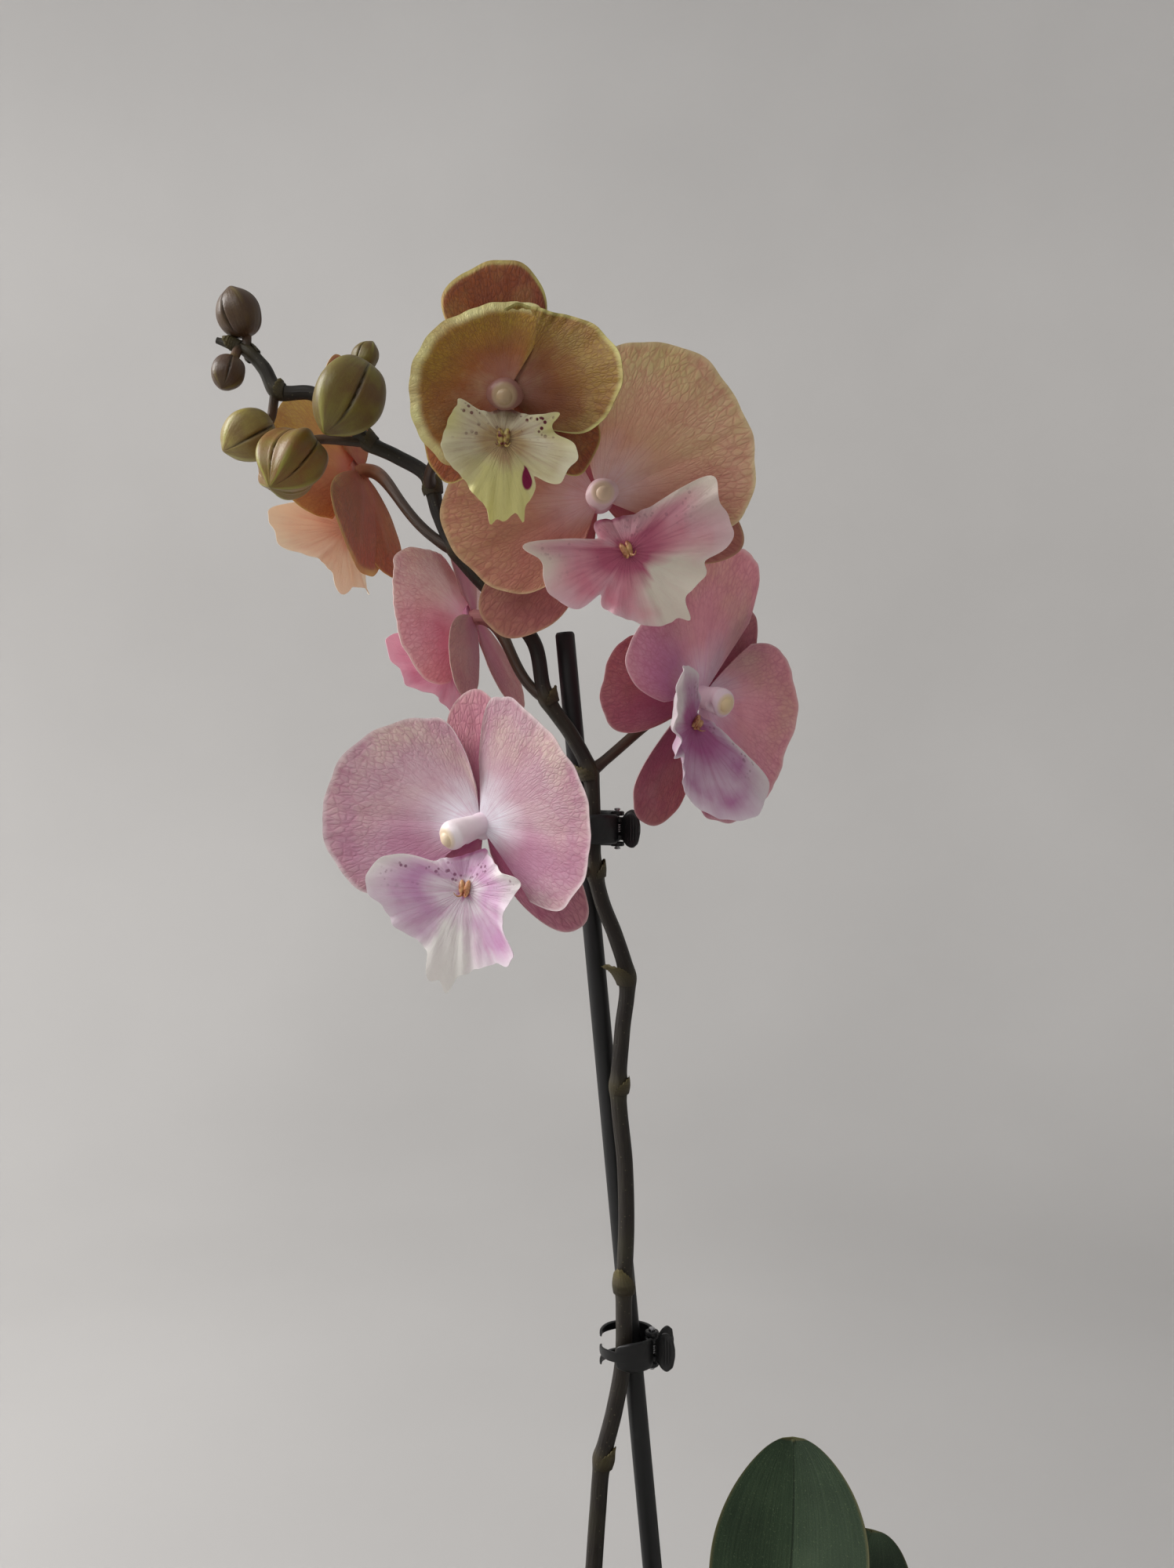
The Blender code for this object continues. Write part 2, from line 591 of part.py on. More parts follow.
def blob_mesh(middle, axis, half_width, half_length, rings=6, sides=10):
    """A closed ellipsoid round middle, its long axis along axis."""
    axis = np.array(axis, float) / np.linalg.norm(axis)
    side = np.cross(axis, (0.2, 1.0, 0.3))
    side /= np.linalg.norm(side)
    up = np.cross(side, axis)
    lat = np.linspace(-pi / 2, pi / 2, rings + 1)[:, None]
    lon = np.linspace(0, 2 * pi, sides + 1)[None, :]
    grid = (
        (half_length * np.sin(lat) + 0 * lon)[..., None] * axis
        + (half_width * np.cos(lat) * np.cos(lon))[..., None] * side
        + (half_width * np.cos(lat) * np.sin(lon))[..., None] * up
    )
    return (np.array(middle, float) + grid).reshape(-1, 3), grid_faces(rings + 1, sides + 1)


def add_flower(
    name, middle, turn, node, leave, column, petal_right, petal_left, dorsal, sepal_right, sepal_left, lip
):
    """The calyx with its ovary and stalk as one piece, then two petals, the lip and the column."""
    matrix, middle = turn_matrix(*turn), np.array(middle, float)

    def placed(points):
        return np.asarray(points, float) @ matrix.T + middle

    begin, leave = stalk_start(node, leave)
    back = placed([(0, HUB_BACK, 0), (0, 17, -1)])
    pull = 0.35 * np.linalg.norm(back[0] - begin)
    stalk = bezier(begin, begin + leave * pull, back[1], back[0], 9)
    calyx = add_tube(name + "_calyx", stalk, STALK_RADIUS * np.linspace(1.0, 1.25, 9), 8)
    hub = blob_mesh(placed((0, HUB_BACK, 0)), matrix[:, 1], HUB_RADIUS, HUB_HALF_DEPTH)
    add_union(calyx, add_object(name + "_hub", *hub, helper=True))
    for key, sepal in (("dorsal", dorsal), ("sepal_right", sepal_right), ("sepal_left", sepal_left)):
        grid = fan(**sepal, mirror=key == "sepal_left", start=SEPAL_START, rings=4, across=6)
        grid = placed(grid + np.array([0, SEPAL_BACK, 0]))
        add_union(calyx, add_sheet(f"{name}_{key}", grid, TEPAL_THICKNESS, helper=True))
    right = fan(**petal_right, start=PETAL_START)
    left = fan(**petal_left, start=PETAL_START, mirror=True)
    add_sheet(name + "_petal_right", placed(right), TEPAL_THICKNESS)
    add_sheet(name + "_petal_left", placed(left), TEPAL_THICKNESS)
    disc = fan(**lip, axis=-90.0, rings=3, across=24, claw=4.5)
    add_sheet(name + "_lip", placed(disc), TEPAL_THICKNESS)
    across, rise = column
    ends = placed([COLUMN_FOOT, (COLUMN_TIP[0] + across, COLUMN_TIP[1], COLUMN_TIP[2] + rise)])
    axis = ends[1] - ends[0]
    half = np.linalg.norm(axis) / 2 + COLUMN_RADIUS
    bean = blob_mesh(ends.mean(axis=0), axis, COLUMN_RADIUS, half, 6, 8)
    add_object(name + "_column", *bean)


def add_bud(name, middle, tip, size, node):
    """A closed bud on a short stalk that leaves the spike towards the bud's back."""
    middle, tip = np.array(middle, float), np.array(tip, float)
    tip /= np.linalg.norm(tip)
    back = middle - tip * size[1] * 0.6
    begin, leave = stalk_start(node, back - np.array([node[0], 0, node[1]]))
    pull = 0.35 * np.linalg.norm(back - begin)
    stalk = bezier(begin, begin + leave * pull, back - tip * pull, back, 6)
    stem = add_tube(name, stalk, STALK_RADIUS * 0.85, 7)
    add_union(stem, add_object(name + "_body", *blob_mesh(middle, tip, *size, 7, 10), helper=True))


def arc_band(centre, radius, start, end, band, steps):
    """The outline of a curved band: its outer edge one way and its inner edge back."""
    angle = np.radians(np.linspace(start, end, steps + 1))
    outer, inner = radius + band / 2, radius - band / 2
    edge = [(centre[0] + outer * cos(t), centre[1] + outer * sin(t)) for t in angle]
    return edge + [(centre[0] + inner * cos(t), centre[1] + inner * sin(t)) for t in angle[::-1]]


def add_prism(name, outline, low, high, helper=False):
    """A flat outline of (x, y), made upright between two heights."""
    count = len(outline)
    points = [(x, y, z) for z in (low, high) for x, y in outline]
    walls = [(i, (i + 1) % count, count + (i + 1) % count, count + i) for i in range(count)]
    faces = walls + [tuple(range(count))[::-1], tuple(range(count, 2 * count))]
    return add_object(name, points, faces, helper)


def add_jaw(name, side, hinge, grip, height):
    """One jaw of a clip: knuckles on the pin, a claw round the stem and stake, and a wing to press.

    side is +1 for the jaw that passes behind and -1 for the one in front. The fixed jaw (+1) keeps the
    outer knuckles and fingers, the moving jaw the middle ones.
    """
    hinge, grip = np.array(hinge), np.array(grip)
    middle = (hinge + grip) / 2 + np.array([-0.8, 0])
    radius = hypot(*(hinge - grip)) / 2 + 1.3
    toward = np.degrees(np.arctan2(*(hinge - middle)[::-1]))
    low, high = height - CLIP_HEIGHT / 2, height + CLIP_HEIGHT / 2
    claw = arc_band(middle, radius, toward + side * 14, toward + side * 196, CLIP_BAND, 14)
    jaw = add_prism(name, claw if side > 0 else claw[::-1], low, high)
    knuckle = arc_band(hinge, (PIN_RADIUS + PIN_FIT + KNUCKLE_RADIUS) / 2, 0, 360,
                       KNUCKLE_RADIUS - PIN_RADIUS - PIN_FIT, 12)  # fmt: skip
    ring, bore = knuckle[:12], knuckle[13:25]
    add_union(jaw, add_prism(name + "_knuckle", ring, low, high, helper=True))
    splay = radians(toward + side * WING_ANGLE)
    out = np.array([cos(splay), sin(splay)])
    across = np.array([-out[1], out[0]]) * CLIP_BAND / 2
    root, end = hinge + out * 1.4, hinge + out * WING_LENGTH
    wing = [root - across, end - across, end + across, root + across]
    add_union(jaw, add_prism(name + "_wing", wing, low + 0.4, high - 0.4, helper=True))
    add_cut(jaw, add_prism(name + "_bore", bore, low - 1, high + 1, helper=True))
    return jaw, middle, radius


def box_outline(centre, half_x, half_y):
    x, y = centre
    return [(x - half_x, y - half_y), (x + half_x, y - half_y), (x + half_x, y + half_y), (x - half_x, y + half_y)]


def add_clip(name, height, hinge):
    """A claw clip that holds the spike to the stake. Its hinge line is upright, to the right of the spike."""
    line = along(spike_points(), 300)
    stem = line[np.argmin(np.abs(line[:, 2] - height))]
    stake = stake_at(height)
    pin = np.array([stem[0] + hinge[0], hinge[1]])
    grip = np.array([(stem[0] + stake[0]) / 2 - 7.5, (stem[1] + stake[1]) / 2])
    third = CLIP_HEIGHT / 6
    for part, side in (("fixed_jaw", 1), ("moving_jaw", -1)):
        jaw, middle, radius = add_jaw(f"{name}_{part}", side, pin, grip, height)
        # The knuckles of one jaw leave room for those of the other and for the spring between them.
        if side > 0:
            slots = [("knuckle_slot", pin, KNUCKLE_RADIUS + GAP, -2 * third - GAP / 2, 2 * third + GAP / 2)]
            slots += [("finger_slot", middle - [radius, 0], 4.2, -third - GAP / 2, third + GAP / 2)]
        else:
            slots = [
                ("knuckle_slot_high", pin, KNUCKLE_RADIUS + GAP, 2 * third - GAP / 2, 9),
                ("knuckle_slot_low", pin, KNUCKLE_RADIUS + GAP, -9, -2 * third + GAP / 2),
                ("spring_slot", pin, KNUCKLE_RADIUS + GAP, -third + 0.3, third - 0.3),
                ("finger_slot_high", middle - [radius, 0], 4.2, third - GAP / 2, 9),
                ("finger_slot_low", middle - [radius, 0], 4.2, -9, -third + GAP / 2),
            ]
        for label, centre, half, low, high in slots:
            outline = box_outline(centre, half, half)
            cutter = add_prism(f"{name}_{part}_{label}", outline, height + low, height + high, helper=True)
            add_cut(jaw, cutter)
        if side < 0:
            stand_on(jaw, (*pin, height))
    ends = [(pin[0], pin[1], height + s * (CLIP_HEIGHT / 2 + 0.9)) for s in (-1, 1)]
    add_tube(name + "_hinge_pin", ends, PIN_RADIUS, 12)
    add_spring(name + "_spring", pin, height, third)


def add_spring(name, pin, height, third):
    """A torsion spring round the pin: three turns, and a short leg at each end."""
    turns, steps = 3, 8
    t = np.linspace(0, 1, turns * steps + 1)
    angle = 2 * pi * turns * t
    coil = PIN_RADIUS + GAP + SPRING_WIRE + 0.2
    pitch = third - 0.9
    line = np.stack([pin[0] + coil * np.cos(angle), pin[1] + coil * np.sin(angle), height - pitch + 2 * pitch * t], -1)
    legs = [line[:1] + [0.2, -1.5, 0], line, line[-1:] + [0.2, 1.5, 0]]
    add_tube(name, np.concatenate(legs), SPRING_WIRE, 5)


def build():
    clear_scene()
    add_pot()
    add_bark()
    add_crown()
    add_leaves()
    add_roots()
    add_spike()
    add_tube("stake", [STAKE_FOOT, STAKE_TOP], STAKE_RADIUS, 12)
    for name, flower in FLOWERS.items():
        add_flower(name, **flower)
    for name, bud in BUDS.items():
        add_bud(name, **bud)
    for name, clip in CLIPS.items():
        add_clip(name, **clip)


build()
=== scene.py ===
"""Finished surfaces of a potted moth orchid: flowers, buds, spike, leaves, roots, bark, pot, stake, clips.

Tables and shape functions are in millimetres and degrees, and every mesh is made in metres. A flower's own
frame has x to its right as it is looked at, y back towards its stalk and z up.
"""

import json
from math import cos, pi, radians, sin

import bmesh
import bpy
import numpy as np
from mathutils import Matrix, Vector


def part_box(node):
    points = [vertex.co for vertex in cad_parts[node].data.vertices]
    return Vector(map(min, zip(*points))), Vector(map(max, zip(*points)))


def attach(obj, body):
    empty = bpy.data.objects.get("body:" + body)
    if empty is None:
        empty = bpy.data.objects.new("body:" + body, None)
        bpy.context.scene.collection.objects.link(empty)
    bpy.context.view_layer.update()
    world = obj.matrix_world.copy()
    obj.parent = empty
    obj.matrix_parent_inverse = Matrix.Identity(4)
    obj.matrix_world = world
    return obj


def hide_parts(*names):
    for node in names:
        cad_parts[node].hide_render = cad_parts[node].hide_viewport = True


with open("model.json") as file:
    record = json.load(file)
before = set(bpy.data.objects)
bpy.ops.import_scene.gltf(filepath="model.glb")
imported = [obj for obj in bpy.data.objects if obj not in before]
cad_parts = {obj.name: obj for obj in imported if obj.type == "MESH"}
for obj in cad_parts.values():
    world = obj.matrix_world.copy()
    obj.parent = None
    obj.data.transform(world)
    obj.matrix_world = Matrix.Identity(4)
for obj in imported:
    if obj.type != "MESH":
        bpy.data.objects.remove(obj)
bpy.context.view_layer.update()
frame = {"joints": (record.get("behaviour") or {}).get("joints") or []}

MM = 0.001
PLANT = "plant_and_pot"


# ---------------------------------------------------------------- sizes and places

POT_HEIGHT, POT_RIM_RADIUS, POT_BASE_RADIUS, POT_WALL, POT_FLOOR, RIM_BAND = 120.0, 65.0, 47.0, 3.2, 5.0, 12.0
BARK_TOP, BARK_RISE, BARK_RADIUS = 104.0, 4.0, 57.5
CROWN_BASE = (32.0, 2.0, 108.8)
CROWN_HEIGHT = 30.0
SPIKE_RADIUS_LOW, SPIKE_RADIUS_HIGH = 3.2, 2.5
STALK_RADIUS = 2.1
COLUMN_MIDDLE = (0.0, -7.4, -1.7)  # the middle of an upright column in its flower's frame

# The spike's centre line. Its foot leaves the crown's side and passes behind the stake, and above that it
# stays in the plane y = 0, as (x, z), up to the growing tip.
SPIKE_FOOT = [
    (29, 5, 119.5), (23.4, 8.8, 120.5), (17, 13.0, 122.5), (11, 15.6, 126), (-2, 13.6, 136), (-12, 9, 150),
    (-19, 4.2, 168), (-22.3, 0.9, 187),
]  # fmt: skip
SPIKE_LINE = [
    (-22.6, 205), (-20.4, 235), (-19.0, 255), (-17.3, 273.6), (-13.1, 291),
    (-10.3, 306), (-9.5, 335.8), (-8.7, 358), (-9.2, 378), (-11.6, 407), (-10.2, 427), (-8.6, 446.4),
    (-12.6, 460.4), (-17.5, 473), (-20.1, 484.2), (-20.6, 505), (-21.8, 519.2), (-28.0, 532),
    (-37.2, 545.8), (-42.0, 566), (-53.2, 579.4), (-70.0, 599), (-76.0, 612), (-80.0, 625),
    (-91.0, 632), (-101, 637), (-110, 647), (-121, 654.5), (-133.5, 655.5), (-138.5, 664),
    (-144, 669.5), (-155, 673.5),
]  # fmt: skip

# The spike's bracts: height, compass angle of its middle, length, and how far it stands off.
BRACTS = [
    (273.6, 200, 9.0, 0.03), (335.8, -60, 10.0, 0.12), (407.2, 190, 6.5, 0.05), (446.4, -20, 10.0, 0.55),
    (484.2, 160, 7.0, 0.15), (519.2, -10, 7.5, 0.20), (545.8, 180, 7.0, 0.2), (579.4, 0, 7.0, 0.2),
    (599.0, 180, 6.5, 0.2), (621.0, 250, 6.5, 0.2), (637.0, 200, 6.0, 0.2), (655.5, 210, 6.0, 0.2),
    (669.5, 110, 6.5, 0.3), (671.8, 250, 6.0, 0.35),
]  # fmt: skip

SEPAL = [(-40, 10), (-20, 35), (-10, 44), (0, 48), (10, 44), (20, 35), (40, 10)]

# A flower: its turn (yaw, pitch, roll), the node of the spike that its stalk leaves (x, z), the stalk's
# first direction, its pieces as (angle from the piece's axis, distance) outlines, and its colouring. A
# piece's shade is painted shade: it darkens that piece's whole colour.
FLOWERS = {
    "flower_1": dict(
        turn=(-20, 0, 4), node=(-20.1, 484.2), leave=(-1, -0.35, 0.1), palette="pink", column=(-6, -1.5),
        petal_right=dict(
            outline=[(-44, 32), (-36, 41), (-25, 44), (0, 44.5), (28, 43), (60, 41.5), (80, 43), (91, 37),
                     (96, 22)],
            # shade=0.95: painted shade, darkening this petal's colour a little
            lean=-0.35, cup=3.0, shade=0.95,
        ),
        petal_left=dict(
            outline=[(-44, 30), (-36, 44), (-25, 50), (-12, 54), (8, 56), (30, 51), (56, 41), (70, 34),
                     (80, 17)],
            lean=-0.10, cup=2.5,
        ),
        dorsal=dict(
            outline=[(-34, 10), (-19, 34), (-10, 42), (0, 46), (10, 42), (19, 34), (32, 10)],
            axis=101, lean=0.1,
        ),
        sepal_right=dict(
            outline=[(-30, 10), (-17, 33), (-10, 42), (0, 47), (12, 41), (22, 32), (36, 8)],
            axis=-41, lean=0.15,
        ),
        sepal_left=dict(outline=SEPAL, axis=-46, lean=0.15),
        lip=dict(
            outline=[
                (-180, 12.5), (-166, 11.5), (-140, 13), (-126, 15.7), (-119, 22), (-111, 26.5), (-103, 29.4),
                (-94, 29.7), (-84, 28.2), (-76, 25.6), (-69, 25.5), (-56, 24.6), (-46, 23.5), (-32, 22.8),
                (-26, 24.2), (-21, 29), (-17, 32), (-12.5, 31), (-8.2, 34.5), (-4, 29.5), (5, 26.9),
                (21, 25.4), (33.5, 26.1), (40, 28.9), (46, 28.6), (52, 27), (57, 21), (65, 18), (73, 17.5),
                (92, 19.8), (101, 22.7), (107, 22), (115, 17.5), (126, 15.9), (150, 14.8), (162, 14.4),
                (180, 12.5),
            ],
            centre=(0, -8, -21), fold=-0.45,
        ),
    ),
    "flower_2": dict(
        turn=(45, 0, 48), node=(-21.8, 519.2), leave=(1, 0.25, 0.75), palette="mauve", column=(2, 0),
        petal_right=dict(
            outline=[(-58, 35), (-48, 42), (-36, 45), (-15, 47), (20, 47.5), (56, 49), (74, 45), (86, 33)],
            lean=-0.1, cup=3.0,
        ),
        petal_left=dict(
            outline=[(-56, 22), (-44, 39), (-15, 42), (18, 44), (49, 52), (68, 58), (79, 54), (86, 39)],
            lean=-0.1, cup=2.0,
        ),
        dorsal=dict(outline=SEPAL, axis=90, lean=0.05),
        sepal_right=dict(
            outline=[(-30, 10), (-20, 37), (-12, 44), (0, 48), (12, 44), (20, 37), (34, 10)],
            axis=-60, lean=0.25,
        ),
        sepal_left=dict(
            outline=[(-42, 10), (-26, 33), (-13, 37), (8, 37), (28, 35), (40, 30), (48, 14)],
            axis=-46, lean=0.3,
        ),
        lip=dict(
            outline=[
                (-180, 8), (-140, 9), (-111, 20), (-93, 24), (-67, 25), (-50, 20), (-36, 19), (-18, 17),
                (-8, 21), (0, 17), (12, 20), (30, 25), (48, 30), (66, 35), (90, 37), (104, 36), (114, 23),
                (135, 11), (180, 8),
            ],
            centre=(-1, -8, -17), fold=-0.3, curl=7.0,
        ),
    ),
    "flower_3": dict(
        turn=(-108, 14, -6), node=(-37.2, 545.8), leave=(-1, 0.2, 0.5), palette="rose_pink", column=(0, 0),
        petal_right=dict(
            outline=[(-56, 32), (-40, 43), (-28, 45), (4, 42), (36, 37), (60, 28), (78, 22), (85, 16)],
            lean=-0.2, cup=4.0,
        ),
        petal_left=dict(
            outline=[(-30, 26), (-8, 44), (20, 49), (50, 45), (77, 37), (86, 25)], lean=-0.2, cup=3.0,
        ),
        dorsal=dict(outline=SEPAL, axis=90, lean=0.0),
        sepal_right=dict(outline=SEPAL, axis=-46, lean=0.05),
        sepal_left=dict(
            outline=[(-40, 10), (-20, 31), (-10, 39), (0, 42), (10, 39), (20, 31), (40, 10)],
            axis=-46, lean=0.05,
        ),
        lip=dict(
            outline=[
                (-180, 9.4), (-150, 11), (-125, 18), (-108, 28), (-95, 27), (-75, 23), (-54, 19), (-26, 19),
                (-14, 24), (-6, 21), (6, 21), (14, 24), (26, 19), (54, 19), (75, 23), (95, 27), (108, 28),
                (125, 18), (150, 11), (180, 9.4),
            ],
            centre=(0, -10, -15), fold=-0.5,
        ),
    ),
    "flower_4": dict(
        turn=(6, 5, -25), node=(-53.2, 579.4), leave=(0.9, -0.5, 0.8), palette="peach", column=(0, 4),
        petal_right=dict(
            outline=[
                (-46, 30), (-38, 43), (-28, 49), (-10, 53), (8, 54.5), (25, 56), (42, 54), (58, 50),
                (72, 40), (82, 26),
            ],
            lean=-0.15, cup=3.5,
        ),
        petal_left=dict(
            outline=[
                (-46, 18), (-38, 30), (-30, 38), (-18, 45), (-2, 50), (12, 53), (24, 53), (36, 49),
                (58, 45), (76, 40), (86, 28),
            ],
            lean=0.12, cup=2.0, palette="coral",
        ),
        dorsal=dict(outline=SEPAL, axis=90, lean=0.2),
        sepal_right=dict(
            outline=[(-30, 10), (-16, 40), (-6, 50), (2, 53), (10, 49), (20, 38), (34, 10)],
            axis=-40, lean=0.15,
        ),
        sepal_left=dict(
            outline=[(-30, 14), (-18, 40), (-9, 50), (5, 56), (18, 50), (25, 38), (36, 8)],
            axis=-31, lean=0.3,
        ),
        lip=dict(
            outline=[
                (-180, 12), (-158, 14.5), (-130, 15), (-123, 24), (-118, 34), (-109, 30), (-91, 30),
                (-76, 28), (-64, 24), (-58, 17), (-52, 19.5), (-37, 21), (-20, 23), (-4, 26), (8, 28),
                (15, 28), (19, 31), (24, 26), (35, 25), (52, 27), (59, 26), (68, 33), (82, 35), (98, 34),
                (108, 36), (115, 28), (124, 19), (138, 14), (160, 12), (180, 12),
            ],
            centre=(0, -8, -20), fold=-0.2,
        ),
    ),
    "flower_5": dict(
        turn=(-120, 14, 0), node=(-70.0, 599), leave=(-1, 0.1, 0.5), palette="amber", column=(0, 0),
        petal_right=dict(
            outline=[(-50, 27), (-28, 38), (-5, 41), (20, 41), (50, 36), (76, 27), (85, 18)],
            lean=-0.1, cup=5.0,
        ),
        petal_left=dict(
            outline=[(-40, 22), (-12, 37), (20, 37), (50, 33), (76, 26), (85, 18)], lean=-0.6, cup=3.0,
        ),
        dorsal=dict(outline=SEPAL, axis=90, lean=0.0),
        sepal_right=dict(
            outline=[(-52, 10), (-28, 39), (-12, 45), (4, 47), (18, 45), (32, 39), (52, 10)],
            axis=-64, lean=0.1, twist=0.4, rim=0.92,
        ),
        sepal_left=dict(
            outline=[(-40, 10), (-20, 32), (-10, 40), (0, 43), (10, 40), (20, 32), (40, 10)],
            axis=-80, lean=0.0,
        ),
        lip=dict(
            outline=[
                (-180, 11), (-150, 11), (-125, 18), (-108, 27), (-92, 26), (-75, 24), (-54, 20), (-28, 21),
                (-14, 27), (-5, 24), (5, 24), (14, 28), (28, 21), (54, 20), (75, 24), (92, 26), (108, 27),
                (125, 18), (150, 11), (180, 11),
            ],
            centre=(0, -10, -19), fold=-0.6,
        ),
    ),
    "flower_6": dict(
        turn=(0, 15, 3), node=(-78.6, 621.0), leave=(-0.1, -1, 0.2), palette="ochre", column=(0, 2),
        petal_right=dict(
            outline=[
                (-46, 14), (-35, 19), (-25, 26), (-8, 32), (15, 36), (38, 33.5), (54, 29), (64, 27.5),
                (76, 26.5), (88, 26), (98, 22), (104, 14),
            ],
            # shade=0.64: painted shade, darkening this petal's colour
            lean=-0.1, bend=-0.5, ruffle=2.2, behind=1.3, rim=0.95, shade=0.64,
        ),
        petal_left=dict(
            outline=[
                (-64, 22), (-56, 27.5), (-42, 29), (-20, 29), (10, 28.5), (35, 28), (60, 26.5), (79, 26.5),
                (92, 27), (104, 27.5), (112, 26), (120, 18),
            ],
            # This petal's palette is a lighter copy of ochre with a paler margin, and rim=0.84 widens that
            # margin: painted light on the petal and its rolled-back edge.
            lean=-0.1, bend=-0.5, roll=4.0, rim=0.84, behind=-0.5, palette="lit_ochre",
        ),
        dorsal=dict(
            outline=[(-40, 10), (-20, 31), (-9, 37), (6, 39), (26, 37), (40, 33), (54, 14)],
            # shade=0.85: painted shade, darkening this sepal's colour
            axis=90, lean=0.06, roll=2.0, rim=0.95, shade=0.85,
        ),
        sepal_right=dict(
            outline=[(-34, 12), (-16, 33), (-6, 34), (4, 33), (14, 31), (24, 26), (34, 12)],
            axis=-32, lean=0.1,
        ),
        sepal_left=dict(
            outline=[(-34, 12), (-14, 33), (-2, 34), (8, 32), (18, 29), (28, 22), (36, 10)],
            axis=-46, lean=0.1,
        ),
        lip=dict(
            outline=[
                (-180, 9.3), (-165, 9.1), (-145, 10), (-136, 12.5), (-130, 18), (-124, 17.4), (-111, 17.4),
                (-89, 18.2), (-72, 18.5), (-53, 17.1), (-29, 18.5), (-14, 21), (-10, 22.6), (-7, 25.8),
                (-3.5, 24.3), (2, 24.6), (9, 23.1), (13, 23), (16, 25.8), (19, 22.5), (26.6, 19.7),
                (38, 17.2),
                (44, 14.4), (50, 18.6), (56, 21.3), (68, 21.7), (82, 23.2), (91, 21.4), (98, 17), (110, 15.8),
                (118, 19), (125, 14.5), (133, 11.5), (146, 9.9), (165, 9.2), (180, 9.3),
            ],
            centre=(0, -8, -14.2), fold=-0.3,
        ),
    ),
}  # fmt: skip

# A bud: its middle, the direction of its tip, its radius and half length, the node of the spike (x, z) that
# its stalk leaves, and how far its ridges stand out.
BUDS = {
    "bud_1": dict(middle=(-126.2, -12, 627), tip=(-0.35, -0.6, -0.7), size=(11.6, 13.5), node=(-101, 637),
                  ridge=0.22, ridges=5),
    "bud_2": dict(middle=(-105.4, -18, 648), tip=(-0.45, -0.25, -0.85), size=(12.0, 14.5), node=(-106, 642),
                  ridge=0.17, ridges=3),
    "bud_3": dict(middle=(-143.7, -1, 639.2), tip=(-0.7, -0.4, -0.6), size=(9.4, 10.2),
                  node=(-133.5, 655.5), ridge=0.15, ridges=3),
    "bud_4": dict(middle=(-101.6, -2, 667), tip=(0.4, 0.1, 0.9), size=(4.8, 5.8), node=(-110, 647),
                  ridge=0.08, ridges=3),
    "bud_5": dict(middle=(-146.8, -1, 683), tip=(-0.3, -0.2, 0.95), size=(8.0, 8.8), node=(-144, 669.5),
                  ridge=0.07, ridges=3),
    "bud_6": dict(middle=(-149.0, -8, 659.5), tip=(-0.2, -0.4, -0.85), size=(5.9, 6.6),
                  node=(-147.5, 670.9), ridge=0.07, ridges=3),
}  # fmt: skip

# A leaf: its heading at its foot and how far it sweeps round from there, its length and greatest width, how
# steeply it climbs at its foot and at its tip, and where its foot stands from the crown: how far out and how
# high.
LEAVES = {
    "leaf_1": dict(heading=64, sweep=20, length=153, width=65, rise=(43, 35), foot=(12.0, 18)),
    "leaf_2": dict(heading=246, sweep=-8, length=160, width=66, rise=(54, 4), foot=(12.0, 16)),
    "leaf_3": dict(heading=57, sweep=5, length=143, width=62, rise=(43, 11), foot=(14.5, 13)),
    "leaf_4": dict(heading=230, sweep=6, length=176, width=70, rise=(42, -16), foot=(14.5, 11)),
    "leaf_5": dict(heading=82, sweep=8, length=150, width=64, rise=(27, -18), foot=(18.5, 4)),
    "leaf_6": dict(heading=264, sweep=-6, length=152, width=62, rise=(29, -20), foot=(18.5, 4)),
}

ROOTS = {
    "root_1": [(40, 0, 112), (50, -8, 114), (56, -13, 122), (61, -16, 127.5), (67, -18, 125),
               (73, -20, 116), (76, -21, 104)],
    "root_2": [(25, -4, 112), (8, -18, 111), (-4, -32, 113), (-14, -45, 122), (-19, -54, 127.5),
               (-24, -62, 124), (-27, -68, 110)],
    "root_3": [(25, 5, 112), (12, 18, 111), (-4, 30, 113), (-18, 40, 121), (-27, 48, 127), (-35, 56, 123),
               (-39, 61, 108)],
    "root_4": [
        (25, 0, 112), (8, -4, 111.5), (-12, -5, 112), (-30, -6, 115), (-45, -7, 122), (-55, -9, 127.5),
        (-64, -11, 126.5), (-71, -12.5, 118), (-74, -14, 105),
    ],
}  # fmt: skip

CLIP_HEIGHT, KNUCKLE_RADIUS, PIN_RADIUS, WING_LENGTH, WING_ANGLE = 13.0, 2.5, 0.8, 9.4, 33.0


# ---------------------------------------------------------------- curves

def through(knots, values, at):
    """A smooth curve through (knot, value): cubic Hermite, with slopes from the neighbouring points."""
    knots, values = np.asarray(knots, float), np.asarray(values, float)
    slope = np.gradient(values, knots, axis=0)
    i = np.clip(np.searchsorted(knots, at, side="right") - 1, 0, len(knots) - 2)
    step = knots[i + 1] - knots[i]
    t = (at - knots[i]) / step
    if values.ndim > 1:
        step, t = step[:, None], t[:, None]
    ends = (1 + 2 * t) * (1 - t) ** 2 * values[i] + t * t * (3 - 2 * t) * values[i + 1]
    return ends + t * (1 - t) ** 2 * step * slope[i] - t * t * (1 - t) * step * slope[i + 1]


def along(points, count):
    """count points evenly along the smooth curve through points."""
    points = np.asarray(points, float)
    knots = np.concatenate([[0], np.cumsum(np.linalg.norm(np.diff(points, axis=0), axis=1))])
    return through(knots, points, np.linspace(0, knots[-1], count))


def bezier(a, b, c, d, count):
    """count points on the cubic Bezier curve from a to d."""
    t = np.linspace(0, 1, count)[:, None]
    return (1 - t) ** 3 * a + 3 * t * (1 - t) ** 2 * b + 3 * t * t * (1 - t) * c + t**3 * d


